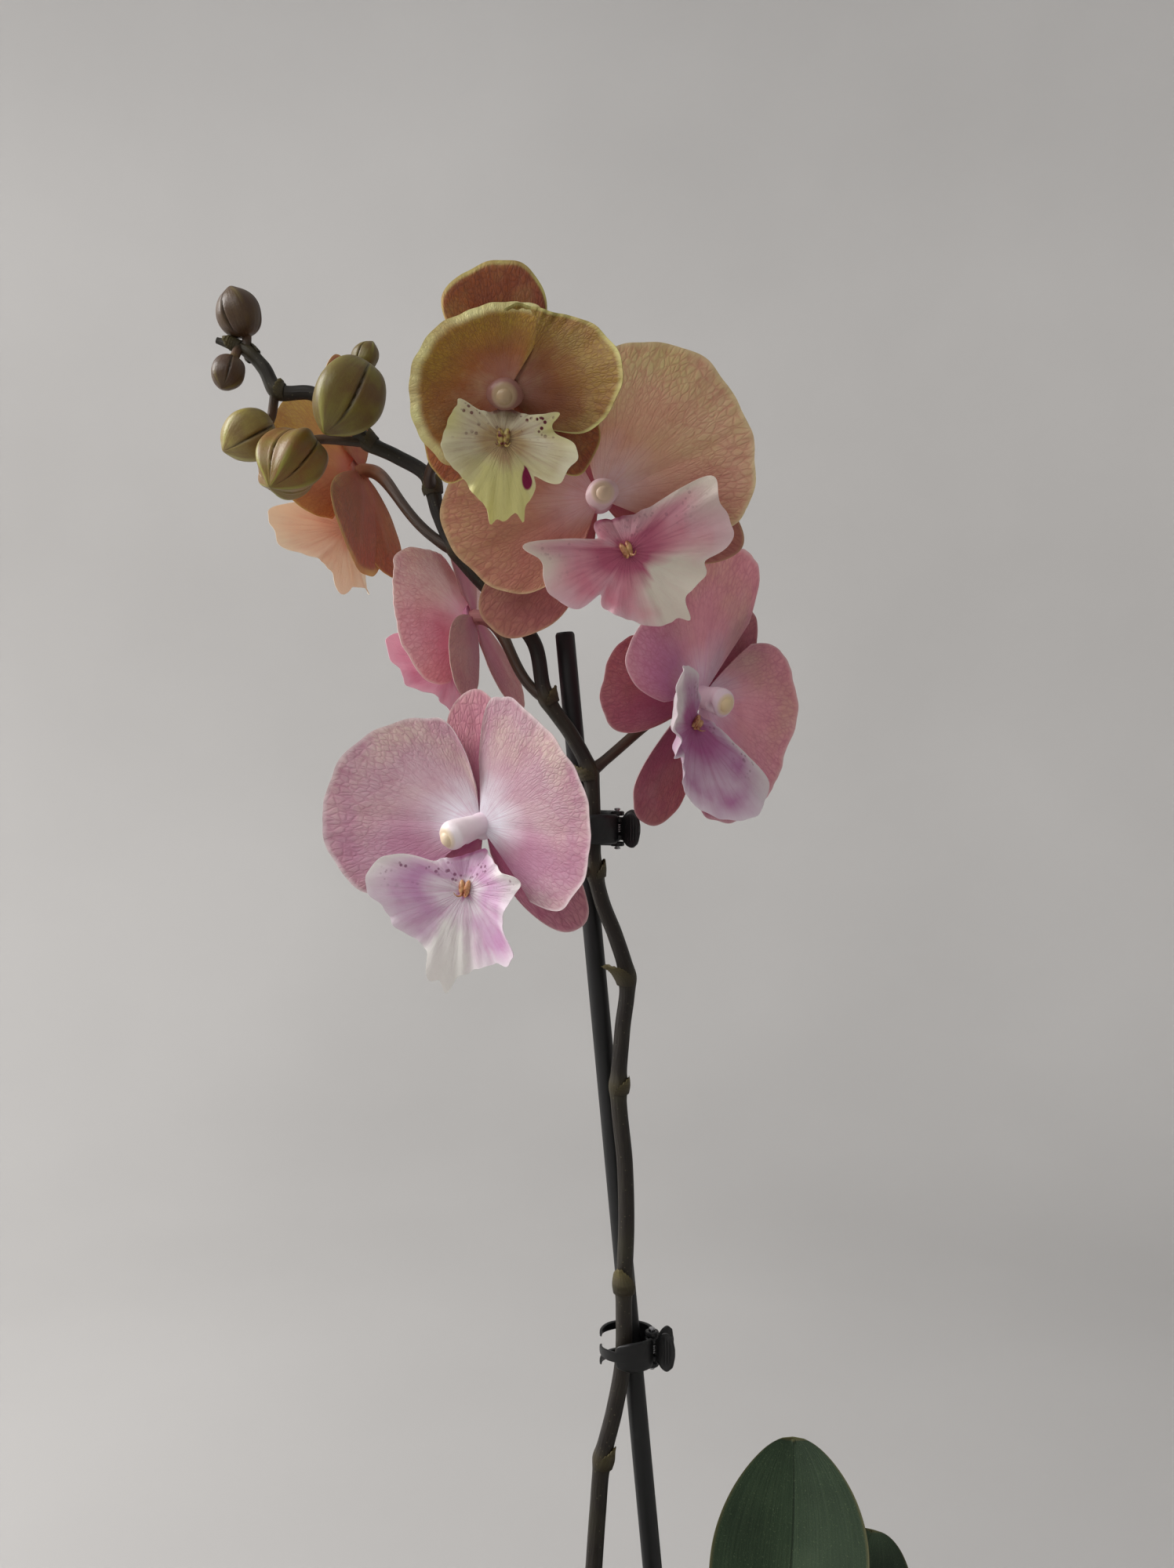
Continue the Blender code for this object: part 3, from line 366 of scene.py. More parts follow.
def turn_matrix(yaw, pitch, roll):
    """Roll about the flower's own y, then pitch about x, then yaw about z."""
    a, b, c = radians(yaw), radians(pitch), radians(roll)
    about_z = np.array([[cos(a), -sin(a), 0], [sin(a), cos(a), 0], [0, 0, 1]])
    about_x = np.array([[1, 0, 0], [0, cos(b), -sin(b)], [0, sin(b), cos(b)]])
    about_y = np.array([[cos(c), 0, sin(c)], [0, 1, 0], [-sin(c), 0, cos(c)]])
    return about_z @ about_x @ about_y


def unit(v):
    """Each vector at a length of one."""
    v = np.asarray(v, float)
    return v / (np.linalg.norm(v, axis=-1, keepdims=True) + 1e-12)


def smooth(x, low, high):
    """0 below low, 1 above high, and a smooth S between them."""
    t = np.clip((x - low) / (high - low), 0, 1)
    return t * t * (3 - 2 * t)


# ---------------------------------------------------------------- surfaces

class Surface:
    """Points, quads, a UV for each point, and named numbers for each point. Surfaces add up into one."""

    def __init__(self, points, quads, uv, marks=None):
        self.points, self.quads, self.uv = points, quads, uv
        self.marks = marks or {}

    def __add__(self, other):
        marks = {}
        for key in {**self.marks, **other.marks}:
            mine = self.marks.get(key, np.zeros(len(self.points)))
            theirs = other.marks.get(key, np.zeros(len(other.points)))
            marks[key] = np.concatenate([mine, theirs])
        return Surface(
            np.concatenate([self.points, other.points]),
            np.concatenate([self.quads, other.quads + len(self.points)]),
            np.concatenate([self.uv, other.uv]),
            marks,
        )


def quads_of(rows, columns):
    """The quads of a grid, each facing the side that (next row) x (next column) points to."""
    i = np.arange(rows * columns).reshape(rows, columns)
    return np.stack([i[:-1, :-1], i[1:, :-1], i[1:, 1:], i[:-1, 1:]], -1).reshape(-1, 4)


def sheet_of(grid, half, uv, marks=None, closed=False):
    """A thin closed sheet: the grid pushed by half to each side along its normal, and its border joined.

    A closed grid comes round on itself in its columns and starts at a pole, so only its last row is a border.
    """
    rows, columns = grid.shape[:2]
    down = np.gradient(grid, axis=0)
    if closed:
        wrapped = np.concatenate([grid[:, -2:-1], grid, grid[:, 1:2]], axis=1)
        over = (wrapped[:, 2:] - wrapped[:, :-2]) / 2
    else:
        over = np.gradient(grid, axis=1)
    normal = unit(np.cross(down, over))
    if closed:
        normal[0] = unit(normal[1, :-1].mean(axis=0))
    half = np.broadcast_to(half, (rows, columns))[..., None]
    count = rows * columns
    points = np.concatenate([(grid + normal * half).reshape(-1, 3), (grid - normal * half).reshape(-1, 3)])
    front = quads_of(rows, columns)
    i = np.arange(count).reshape(rows, columns)
    edge = i[-1] if closed else np.concatenate([i[:, 0], i[-1, 1:], i[-2::-1, -1], i[0, -2::-1]])
    wall = np.stack([edge[:-1] + count, edge[1:] + count, edge[1:], edge[:-1]], -1)
    quads = np.concatenate([front, front[:, ::-1] + count, wall])
    named = {key: np.tile(value.reshape(-1), 2) for key, value in (marks or {}).items()}
    named["behind"] = np.repeat([0.0, 1.0], count)
    return Surface(points, quads, np.tile(uv.reshape(-1, 2), (2, 1)), named)


def tube_of(line, radii, sides, ripple=None, up=(0.03, 1.0, 0.02)):
    """A tube round a line, closed by a point at each end. ripple(angle, along) scales each point's radius."""
    line = np.asarray(line, float)
    line = np.concatenate([line[:1], line, line[-1:]])
    radii = np.concatenate([[0.0], np.broadcast_to(radii, len(line) - 2), [0.0]])
    tangent = unit(np.gradient(line, axis=0))
    tangent[0], tangent[-1] = tangent[1], tangent[-2]
    side = unit(np.cross(tangent, up))
    over = np.cross(side, tangent)
    angle = np.linspace(0, 2 * pi, sides + 1)[None, :]
    travelled = np.linspace(0, 1, len(line))[:, None]
    reach = radii[:, None] * (ripple(angle, travelled) if ripple else 1.0)
    ring = np.cos(angle)[..., None] * side[:, None] + np.sin(angle)[..., None] * over[:, None]
    points = line[:, None] + reach[..., None] * ring
    uv = np.stack(np.broadcast_arrays(angle / (2 * pi), travelled), -1)
    surface = Surface(points.reshape(-1, 3), quads_of(len(line), sides + 1)[:, ::-1], uv.reshape(-1, 2))
    surface.marks["travel"] = uv[..., 1].reshape(-1)
    return surface


def turned(profile, steps, centre=(0, 0, 0)):
    """A profile of (radius, height) turned about an upright line. It starts and ends on the line."""
    profile = np.asarray(profile, float)
    angle = np.linspace(0, 2 * pi, steps + 1)[None, :]
    radius, height = profile[:, :1], profile[:, 1:]
    grid = np.stack([radius * np.cos(angle), radius * np.sin(angle), height + 0 * angle], -1)
    uv = np.stack(np.broadcast_arrays(angle / (2 * pi), np.linspace(0, 1, len(profile))[:, None]), -1)
    return Surface((grid + centre).reshape(-1, 3), quads_of(*grid.shape[:2])[:, ::-1], uv.reshape(-1, 2))


def make(name, surface, finish, body=PLANT, stands_for=(), crease=60):
    """The surface as one finished piece that rides on a body."""
    mesh = bpy.data.meshes.new(name)
    mesh.from_pydata((surface.points * MM).tolist(), [], surface.quads.tolist())
    corner = np.empty(len(mesh.loops), np.int32)
    mesh.loops.foreach_get("vertex_index", corner)
    mesh.uv_layers.new(name="Surface").data.foreach_set("uv", surface.uv[corner].astype(np.float32).ravel())
    for key, values in surface.marks.items():
        mesh.attributes.new(key, "FLOAT", "POINT").data.foreach_set("value", values.astype(np.float32))
    work = bmesh.new()
    work.from_mesh(mesh)
    bmesh.ops.remove_doubles(work, verts=work.verts, dist=1e-6)
    bmesh.ops.dissolve_degenerate(work, edges=work.edges, dist=1e-7)
    work.to_mesh(mesh)
    work.free()
    mesh.shade_smooth()
    mesh.set_sharp_from_angle(angle=radians(crease))
    mesh.materials.append(finish)
    piece = bpy.data.objects.new(name, mesh)
    bpy.context.collection.objects.link(piece)
    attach(piece, body)
    if stands_for:
        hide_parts(*stands_for)
    return piece


# ---------------------------------------------------------------- finishes

def tone(red, green, blue):
    """A paint colour of 0 to 255 as linear light."""
    value = np.array([red, green, blue]) / 255
    return (*np.where(value <= 0.04045, value / 12.92, ((value + 0.055) / 1.055) ** 2.4).tolist(), 1.0)


class Finish:
    """A Principled material, with short words for the nodes that feed it."""

    def __init__(self, name, **settings):
        self.material = bpy.data.materials.new(name)
        self.material.use_nodes = True
        self.tree = self.material.node_tree
        self.shader = self.tree.nodes["Principled BSDF"]
        for key, value in settings.items():
            self.shader.inputs[key.replace("_", " ")].default_value = value

    def add(self, kind, inputs, **settings):
        """A new node with its settings and inputs."""
        node = self.tree.nodes.new("ShaderNode" + kind)
        for key, value in settings.items():
            setattr(node, key, value)
        for key, value in inputs.items():
            self.feed(node.inputs[key], value)
        return node

    def feed(self, socket, value):
        """Links a socket, or sets its own value."""
        if isinstance(value, bpy.types.NodeSocket):
            self.tree.links.new(value, socket)
        else:
            socket.default_value = value

    def math(self, operation, a, b=0.0, clamp=False):
        """One step of arithmetic on two numbers."""
        return self.add("Math", {0: a, 1: b}, operation=operation, use_clamp=clamp).outputs[0]

    def mix(self, amount, a, b, blend="MIX"):
        """Colour a, with colour b over it by amount."""
        node = self.add("Mix", {0: amount, 6: a, 7: b}, data_type="RGBA", blend_type=blend)
        return node.outputs[2]

    def ramp(self, amount, stops):
        """A number or a colour that changes with amount, from (place, grey or colour) stops."""
        node = self.add("ValToRGB", {0: amount})
        points = node.color_ramp.elements
        while len(points) < len(stops):
            points.new(0.5)
        for point, (place, value) in zip(points, stops):
            point.position = place
            point.color = value if isinstance(value, tuple) else (value, value, value, 1)
        return node.outputs[0]

    def place(self):
        """Where a point lies on its own piece."""
        return self.add("TexCoord", {}).outputs["Object"]

    def mark(self, name):
        """A number that the surface carries at each point."""
        return self.add("Attribute", {}, attribute_name=name).outputs["Fac"]

    def surface(self, across=1.0, along=1.0, warp=0.0):
        """The piece's UV, scaled across and along, and bent by a slow noise."""
        uv = self.add("UVMap", {}, uv_map="Surface").outputs[0]
        scaled = self.add("Mapping", {"Vector": uv, "Scale": (across, along, 1)}).outputs[0]
        if not warp:
            return scaled
        slow = self.add("TexNoise", {"Vector": uv, "Scale": 4.0, "Detail": 2.0}).outputs["Color"]
        centred = self.add("VectorMath", {0: slow, 1: (0.5, 0.5, 0.5)}, operation="SUBTRACT").outputs[0]
        push = self.add("VectorMath", {0: centred, "Scale": warp}, operation="SCALE").outputs[0]
        return self.add("VectorMath", {0: scaled, 1: push}, operation="ADD").outputs[0]

    def noise(self, where, scale=1.0, detail=2.0, rough=0.5):
        """Soft clouds from 0 to 1."""
        inputs = {"Vector": where, "Scale": scale, "Detail": detail, "Roughness": rough}
        return self.add("TexNoise", inputs).outputs["Fac"]

    def cells(self, where, scale=1.0, feature="DISTANCE_TO_EDGE"):
        """How far a point is from the borders, or the middles, of a net of cells."""
        return self.add("TexVoronoi", {"Vector": where, "Scale": scale}, feature=feature).outputs["Distance"]

    def colour(self, value):
        self.feed(self.shader.inputs["Base Color"], value)

    def rough(self, value):
        self.feed(self.shader.inputs["Roughness"], value)

    def relief(self, height, depth, strength=1.0):
        """Raised and sunk detail. depth is in metres."""
        inputs = {"Height": height, "Distance": depth, "Strength": strength}
        bump = self.add("Bump", inputs)
        self.feed(self.shader.inputs["Normal"], bump.outputs[0])
        return bump.outputs[0]

    def lets_light_through(self, colour, share, normal=None):
        """Mixes in light that comes through from behind, as in a thin petal."""
        behind = self.add("BsdfTranslucent", {"Color": colour})
        if normal is not None:
            self.feed(behind.inputs["Normal"], normal)
        both = self.add("MixShader", {0: share, 1: self.shader.outputs[0], 2: behind.outputs[0]})
        self.feed(self.tree.nodes["Material Output"].inputs["Surface"], both.outputs[0])


# Petal colours: near the middle, in the body, towards the margin, the margin itself, the veins, a patch
# colour that drifts over the body, and the flush along the lower side, which is partly painted shade.
PETAL_COLOURS = {
    "pink": ((242, 238, 247), (217, 181, 192), (203, 162, 172), (238, 224, 224), (176, 102, 132),
             (226, 204, 188), (190, 118, 158)),
    "mauve": ((246, 222, 236), (246, 188, 200), (242, 182, 190), (246, 220, 222), (200, 110, 142),
              (236, 196, 180), (220, 144, 200)),
    "rose_pink": ((250, 220, 230), (250, 226, 222), (250, 226, 220), (252, 238, 232), (196, 70, 116),
                  (248, 220, 204), (238, 140, 182)),
    "peach": ((240, 206, 206), (226, 172, 140), (220, 184, 142), (228, 214, 168), (190, 98, 92),
              (216, 202, 132), (228, 168, 150)),
    "coral": ((236, 192, 194), (216, 150, 126), (208, 152, 112), (226, 200, 150), (176, 84, 80),
              (206, 172, 110), (214, 128, 118)),
    "amber": ((226, 130, 126), (226, 156, 84), (232, 190, 80), (242, 214, 130), (190, 78, 72),
              (240, 208, 108), (224, 114, 112)),
    # The next palette is a lighter copy of ochre with a paler margin: painted light for flower_6's left
    # petal.
    "lit_ochre": ((190, 126, 106), (184, 111, 48), (194, 160, 34), (254, 252, 186), (126, 58, 32),
              (192, 134, 36), (176, 94, 56)),
    "ochre": ((190, 126, 106), (182, 108, 46), (190, 152, 30), (244, 240, 150), (124, 56, 30),
              (188, 128, 32), (172, 90, 52)),
}
SEPAL_COLOURS = {
    "pink": ((168, 50, 112), (208, 128, 150), (212, 146, 156), (236, 212, 208), (160, 66, 104),
             (216, 158, 156), (184, 76, 126)),
    "mauve": ((190, 80, 120), (190, 92, 116), (194, 104, 110), (222, 176, 176), (140, 50, 80),
              (186, 120, 100), (170, 70, 110)),
    "rose_pink": ((220, 110, 154), (230, 148, 158), (232, 166, 158), (242, 218, 204), (186, 74, 106),
                  (230, 182, 156), (220, 112, 154)),
    "peach": ((206, 106, 126), (204, 122, 114), (198, 132, 112), (224, 196, 150), (156, 66, 74),
              (196, 138, 100), (202, 100, 116)),
    "amber": ((182, 62, 60), (178, 70, 34), (196, 80, 46), (240, 212, 120), (112, 38, 30), (190, 108, 40),
              (190, 60, 66)),
    "ochre": ((160, 62, 32), (164, 68, 24), (172, 84, 22), (230, 222, 130), (98, 38, 18), (178, 98, 24),
              (150, 48, 24)),
}
# A lip: its body, its middle, its pale wedge, its margin, the tint at the callus, its spots; where the wedge
# lies and how wide it is, in radians from straight down; how strongly it is spotted to its left and its
# right; and a dark blotch, as its angle and its distance out.
LIPS = {
    "pink": dict(
        body=(224, 176, 214), near=(250, 238, 246), pale=(252, 250, 245), margin=(248, 236, 244),
        deep=(206, 110, 172), spot=(120, 30, 84),
        wedge=(-0.22, 0.40), spotted=(0.7, 0.7),
    ),
    "mauve": dict(
        body=(210, 148, 192), near=(200, 116, 170), pale=(248, 240, 240), margin=(246, 234, 242),
        deep=(186, 74, 140), spot=(120, 30, 70),
        wedge=(-1.1, 0.5), spotted=(0.2, 0.4),
    ),
    "rose_pink": dict(
        body=(232, 146, 182), near=(222, 108, 160), pale=(246, 204, 218), margin=(248, 220, 230),
        deep=(206, 66, 136), spot=(140, 30, 80),
        wedge=(0.0, 0.5), spotted=(0.2, 0.2),
    ),
    "peach": dict(
        body=(242, 162, 182), near=(218, 120, 150), pale=(252, 247, 232), margin=(246, 214, 222),
        deep=(186, 76, 118), spot=(120, 30, 70),
        wedge=(0.52, 0.55), spotted=(0.25, 0.25),
    ),
    "amber": dict(
        body=(246, 226, 204), near=(240, 200, 172), pale=(250, 240, 220), margin=(252, 244, 224),
        deep=(216, 130, 110), spot=(140, 50, 60),
        wedge=(0.0, 0.6), spotted=(0.1, 0.1),
    ),
    "ochre": dict(
        body=(224, 212, 176), near=(206, 180, 132), pale=(232, 227, 156), margin=(242, 238, 214),
        deep=(170, 104, 100), spot=(104, 22, 44),
        wedge=(-0.05, 0.75), spotted=(0.8, 1.0), blotch=(0.61, 0.76),
    ),
}  # fmt: skip


# A column: its shaft, its cap and its foot.
COLUMN_COLOURS = {
    "pink": ((244, 234, 236), (230, 208, 170), (234, 208, 224)),
    "mauve": ((244, 222, 230), (238, 214, 160), (228, 180, 206)),
    "rose_pink": ((240, 206, 218), (236, 214, 176), (224, 150, 184)),
    "peach": ((226, 194, 196), (226, 200, 168), (206, 140, 158)),
    "amber": ((226, 184, 160), (228, 196, 148), (196, 120, 104)),
    "ochre": ((146, 102, 92), (178, 154, 118), (124, 68, 60)),
}


def petal_finish(name, shades, back_pale=0.25, through_share=0.22):
    """Thin velvety petal: soft bands from the middle out, clouds, fine branching veins, a pale margin, a
    deeper flush along the lower side that is partly painted shade, a faint painted glint, and a painted shade
    multiplier per piece.
    """
    inner, body, outer, margin, vein, patch, flush = (tone(*shade) for shade in shades)
    f = Finish(name, Roughness=0.62, Sheen_Weight=0.2, Sheen_Roughness=0.4, Specular_IOR_Level=0.3)
    out, low = f.mark("out"), f.mark("low")
    drift = f.noise(f.surface(1.6, 2.2), 1.0, 3.0)
    far = f.math("ADD", out, f.math("MULTIPLY", f.math("SUBTRACT", drift, 0.5), 0.4))
    colour = f.ramp(far, [(0.10, inner), (0.42, body), (0.80, outer)])
    patches = f.ramp(f.noise(f.surface(1.7, 2.6), 1.0, 3.0), [(0.42, 0.0), (0.62, 0.85)])
    colour = f.mix(f.math("MULTIPLY", patches, f.ramp(out, [(0.35, 0.0), (0.75, 1.0)])), colour, patch)
    # A deeper flush along the lower side of each piece: partly the flower's own colour, partly painted shade.
    lower_flush_and_shade = f.math("MULTIPLY", low, f.ramp(out, [(0.15, 0.0), (0.45, 0.75), (0.95, 0.45)]))
    colour = f.mix(lower_flush_and_shade, colour, flush)
    clouds = f.noise(f.place(), 70.0, 4.0, 0.6)
    colour = f.mix(f.ramp(clouds, [(0.5, 0.0), (0.75, 0.25)]), colour, margin)
    colour = f.mix(f.ramp(clouds, [(0.25, 0.4), (0.5, 0.0)]), colour, vein)
    # Main veins run out from the foot and split; a net of small ones joins them towards the margin.
    main = f.ramp(f.cells(f.surface(9.0, 2.4, 0.5)), [(0.0, 1.0), (0.09, 0.0)])
    net = f.ramp(f.cells(f.surface(26.0, 16.0, 0.9)), [(0.0, 1.0), (0.2, 0.0)])
    streak = f.ramp(f.noise(f.surface(40.0, 7.0, 0.8), 1.0, 3.0, 0.65), [(0.42, 0.0), (0.72, 1.0)])
    near = f.ramp(f.noise(f.surface(22.0, 1.4, 0.4), 1.0, 3.0, 0.6), [(0.48, 0.0), (0.68, 1.0)])
    near = f.math("MULTIPLY", near, f.ramp(out, [(0.06, 0.9), (0.3, 0.5), (0.55, 0.0)]))
    outward = f.ramp(out, [(0.25, 0.0), (0.75, 1.0)])
    lines = f.math("MULTIPLY", main, 0.3)
    lines = f.math("ADD", lines, f.math("MULTIPLY", f.math("MULTIPLY", net, outward), 0.6))
    lines = f.math("ADD", lines, f.math("MULTIPLY", f.math("MULTIPLY", streak, outward), 0.4), clamp=True)
    lines = f.math("MULTIPLY", lines, f.ramp(out, [(0.08, 0.2), (0.3, 1.0), (0.95, 1.0), (1.0, 0.4)]))
    colour = f.mix(f.math("MULTIPLY", lines, 0.5), colour, vein)
    colour = f.mix(f.math("MULTIPLY", near, 0.5), colour, flush)
    # The pale margin band from rim outwards, patchy along its length. Where rim is set wide, as on flower_6's
    # left petal, the band is partly painted light on the rolled-back edge.
    worn = f.ramp(f.noise(f.surface(3.0, 0.6), 1.0, 2.0), [(0.35, 0.35), (0.65, 0.9)])
    colour = f.mix(f.math("MULTIPLY", f.mark("rim"), worn), colour, margin)
    # Painted glint: fine whitish specks mixed into the colour, as the sparkle of the petal's cells. The same
    # noise also sets the roughness and the relief.
    glitter = f.noise(f.place(), 2600.0, 1.0)
    colour = f.mix(f.math("MULTIPLY", glitter, 0.08), colour, tone(255, 250, 250))
    colour = f.mix(f.math("MULTIPLY", f.mark("behind"), back_pale), colour, margin)
    # Painted shade: the colour multiplied by the piece's shade mark, darkening that piece as a whole.
    colour = f.mix(1.0, colour, f.mark("shade"), "MULTIPLY")
    f.colour(colour)
    f.rough(f.ramp(glitter, [(0.3, 0.52), (0.7, 0.7)]))
    height = f.math("ADD", f.math("MULTIPLY", lines, -1.0), f.math("MULTIPLY", glitter, 0.35))
    grain = f.math("MULTIPLY", f.noise(f.place(), 380.0, 2.0), outward)
    height = f.math("ADD", height, f.math("MULTIPLY", grain, 0.5))
    normal = f.relief(height, 0.0003, 0.55)
    f.lets_light_through(colour, through_share, normal)
    return f.material


def bump_at(f, value, middle, width):
    """1 at the middle, fading to 0 over the width: a Gaussian."""
    off = f.math("DIVIDE", f.math("SUBTRACT", value, middle), width)
    return f.math("EXPONENT", f.math("MULTIPLY", f.math("MULTIPLY", off, off), -1.0))


def lip_finish(name, body, near, pale, margin, deep, spot, wedge, spotted, blotch=None):
    """Lip: tinted body, a pale wedge down the middle lobe, rays, a pale margin and dark spots."""
    body, near, pale, margin = (tone(*shade) for shade in (body, near, pale, margin))
    deep, spot = tone(*deep), tone(*spot)
    f = Finish(name, Roughness=0.5, Sheen_Weight=0.15, Sheen_Roughness=0.4, Specular_IOR_Level=0.4)
    parts = f.add("SeparateXYZ", {0: f.add("UVMap", {}, uv_map="Surface").outputs[0]})
    angle = f.math("MULTIPLY", f.math("SUBTRACT", parts.outputs[0], 0.5), 2 * pi)
    aside = f.math("ABSOLUTE", angle)
    out = f.mark("out")
    drift = f.math("SUBTRACT", f.noise(f.surface(7.0, 2.0), 1.0, 3.0), 0.5)
    far = f.math("ADD", out, f.math("MULTIPLY", drift, 0.35))
    colour = f.ramp(far, [(0.03, deep), (0.13, near), (0.30, near), (0.5, body), (0.8, body), (1.0, margin)])
    cloud = f.ramp(f.noise(f.place(), 75.0, 3.0), [(0.4, 0.0), (0.65, 0.6)])
    colour = f.mix(f.math("MULTIPLY", cloud, f.ramp(out, [(0.3, 0.0), (0.6, 1.0)])), colour, margin)
    rays = f.ramp(f.noise(f.surface(70.0, 1.4, 0.5), 1.0, 4.0, 0.6), [(0.44, 0.0), (0.66, 1.0)])
    rays = f.math("MULTIPLY", rays, f.ramp(out, [(0.05, 0.8), (0.8, 0.5), (1.0, 0.1)]))
    colour = f.mix(f.math("MULTIPLY", rays, 0.5), colour, deep)
    white = bump_at(f, f.math("ADD", angle, f.math("MULTIPLY", drift, 0.6)), *wedge)
    white = f.math("MULTIPLY", f.math("MULTIPLY", white, 1.6), f.ramp(far, [(0.25, 0.0), (0.55, 1.0)]),
                   clamp=True)
    colour = f.mix(white, colour, f.mix(f.math("MULTIPLY", rays, 0.12), pale, body))
    tips = f.math("MULTIPLY", bump_at(f, aside, 1.9, 0.35), f.ramp(far, [(0.6, 0.0), (0.95, 0.9)]))
    colour = f.mix(tips, colour, pale)
    throat = f.math("MULTIPLY", f.ramp(f.math("DIVIDE", aside, pi), [(0.8, 0.0), (0.9, 0.8)]),
                    f.ramp(out, [(0.86, 0.0), (0.95, 1.0)]))
    colour = f.mix(throat, colour, deep)
    dots = f.ramp(f.cells(f.place(), 560.0, "F1"), [(0.26, 1.0), (0.36, 0.0)])
    clump = f.ramp(f.noise(f.place(), 190.0, 1.0), [(0.46, 0.0), (0.56, 1.0)])
    zone = f.ramp(f.math("DIVIDE", aside, pi), [(0.48, 0.0), (0.6, 1.0), (0.86, 1.0), (0.96, 0.2)])
    zone = f.math("MULTIPLY", zone, f.ramp(out, [(0.15, 0.2), (0.35, 1.0), (0.85, 1.0), (0.93, 0.0)]))
    zone = f.math("MULTIPLY", zone, f.ramp(parts.outputs[0], [(0.49, spotted[0]), (0.51, spotted[1])]))
    zone = f.math("MULTIPLY", zone, f.math("SUBTRACT", 1.0, f.mark("behind")))
    colour = f.mix(f.math("MULTIPLY", f.math("MULTIPLY", dots, clump), zone), colour, spot)
    if blotch:
        stain = f.math("MULTIPLY", bump_at(f, angle, blotch[0], 0.17), bump_at(f, out, blotch[1], 0.15))
        colour = f.mix(f.ramp(stain, [(0.35, 0.0), (0.5, 1.0)]), colour, tone(140, 20, 72))
    colour = f.mix(f.math("MULTIPLY", f.mark("behind"), 0.4), colour, margin)
    f.colour(colour)
    height = f.math("ADD", f.math("MULTIPLY", rays, -0.9),
                    f.math("MULTIPLY", f.noise(f.place(), 900.0, 2.0), 0.5))
    normal = f.relief(height, 0.00035, 0.8)
    f.lets_light_through(colour, 0.3, normal)
    return f.material


def column_finish(name, shaft, cap, foot):
    """Waxy column: its shaft, its cap and a deeper shade towards its foot, with a faint mottle."""
    f = Finish(name, Roughness=0.42, Specular_IOR_Level=0.45, Coat_Weight=0.1, Coat_Roughness=0.3)
    colour = f.ramp(f.mark("travel"), [(0.0, tone(*foot)), (0.4, tone(*shaft)), (0.9, tone(*shaft)),
                                       (0.96, tone(*cap))])
    mottle = f.noise(f.place(), 420.0, 3.0)
    colour = f.mix(f.math("MULTIPLY", mottle, 0.25), colour, tone(*foot))
    f.colour(colour)
    f.relief(mottle, 0.0002, 0.5)
    return f.material


def callus_finish(name, dark, body, light):
    """Waxy callus with small dark freckles."""
    f = Finish(name, Roughness=0.35, Specular_IOR_Level=0.5)
    mottle = f.noise(f.place(), 600.0, 2.0)
    f.colour(f.ramp(mottle, [(0.35, tone(*dark)), (0.5, tone(*body)), (0.7, tone(*light))]))
    f.relief(mottle, 0.0002, 0.6)
    return f.material


def stem_finish():
    """Waxy stem: dark green-brown with faint lengthwise lines, pale freckles and a greyish bloom."""
    f = Finish("stem_skin", Specular_IOR_Level=0.4)
    fine = f.noise(f.surface(28.0, 90.0, 1.0), 1.0, 3.0)
    broad = f.noise(f.place(), 45.0, 3.0)
    colour = f.ramp(broad, [(0.3, tone(24, 19, 16)), (0.5, tone(34, 28, 23)), (0.72, tone(46, 43, 29))])
    colour = f.mix(f.ramp(fine, [(0.45, 0.0), (0.75, 0.45)]), colour, tone(56, 51, 41))
    freckle = f.ramp(f.cells(f.place(), 520.0, "F1"), [(0.10, 0.7), (0.17, 0.0)])
    colour = f.mix(freckle, colour, tone(86, 79, 62))
    node = f.mark("node")
    colour = f.mix(f.math("MULTIPLY", node, 0.4), colour, tone(78, 68, 40))
    f.colour(colour)
    f.rough(f.ramp(fine, [(0.3, 0.42), (0.7, 0.62)]))
    f.relief(fine, 0.0004, 0.6)
    return f.material


def bract_finish():
    """Dry bract: tan edge, green back and brown veins."""
    f = Finish("bract_skin", Roughness=0.65)
    lines = f.noise(f.surface(26.0, 3.0, 0.4), 1.0, 2.0)
    colour = f.ramp(f.mark("out"), [(0.0, tone(48, 42, 26)), (0.5, tone(70, 64, 36)),
                                    (1.0, tone(104, 94, 54))])
    colour = f.mix(f.ramp(lines, [(0.4, 0.0), (0.7, 0.5)]), colour, tone(60, 42, 28))
    f.colour(colour)
    f.relief(lines, 0.0003, 0.7)
    return f.material


def stalk_finish(name, near, far):
    """Flower stalk: brown-green where it leaves the stem, blushing towards the flower, with fine ribs."""
    f = Finish(name, Roughness=0.5, Specular_IOR_Level=0.4)
    ribs = f.noise(f.surface(34.0, 4.0, 0.5), 1.0, 3.0)
    mottle = f.noise(f.place(), 160.0, 3.0)
    where = f.math("ADD", f.mark("travel"), f.math("MULTIPLY", f.math("SUBTRACT", mottle, 0.5), 0.2))
    colour = f.ramp(where, [(0.15, tone(*near)), (0.6, tone(84, 60, 44)), (0.95, tone(*far))])
    colour = f.mix(f.ramp(ribs, [(0.4, 0.0), (0.75, 0.35)]), colour, tone(112, 86, 62))
    f.colour(colour)
    f.relief(ribs, 0.0003, 0.6)
    return f.material


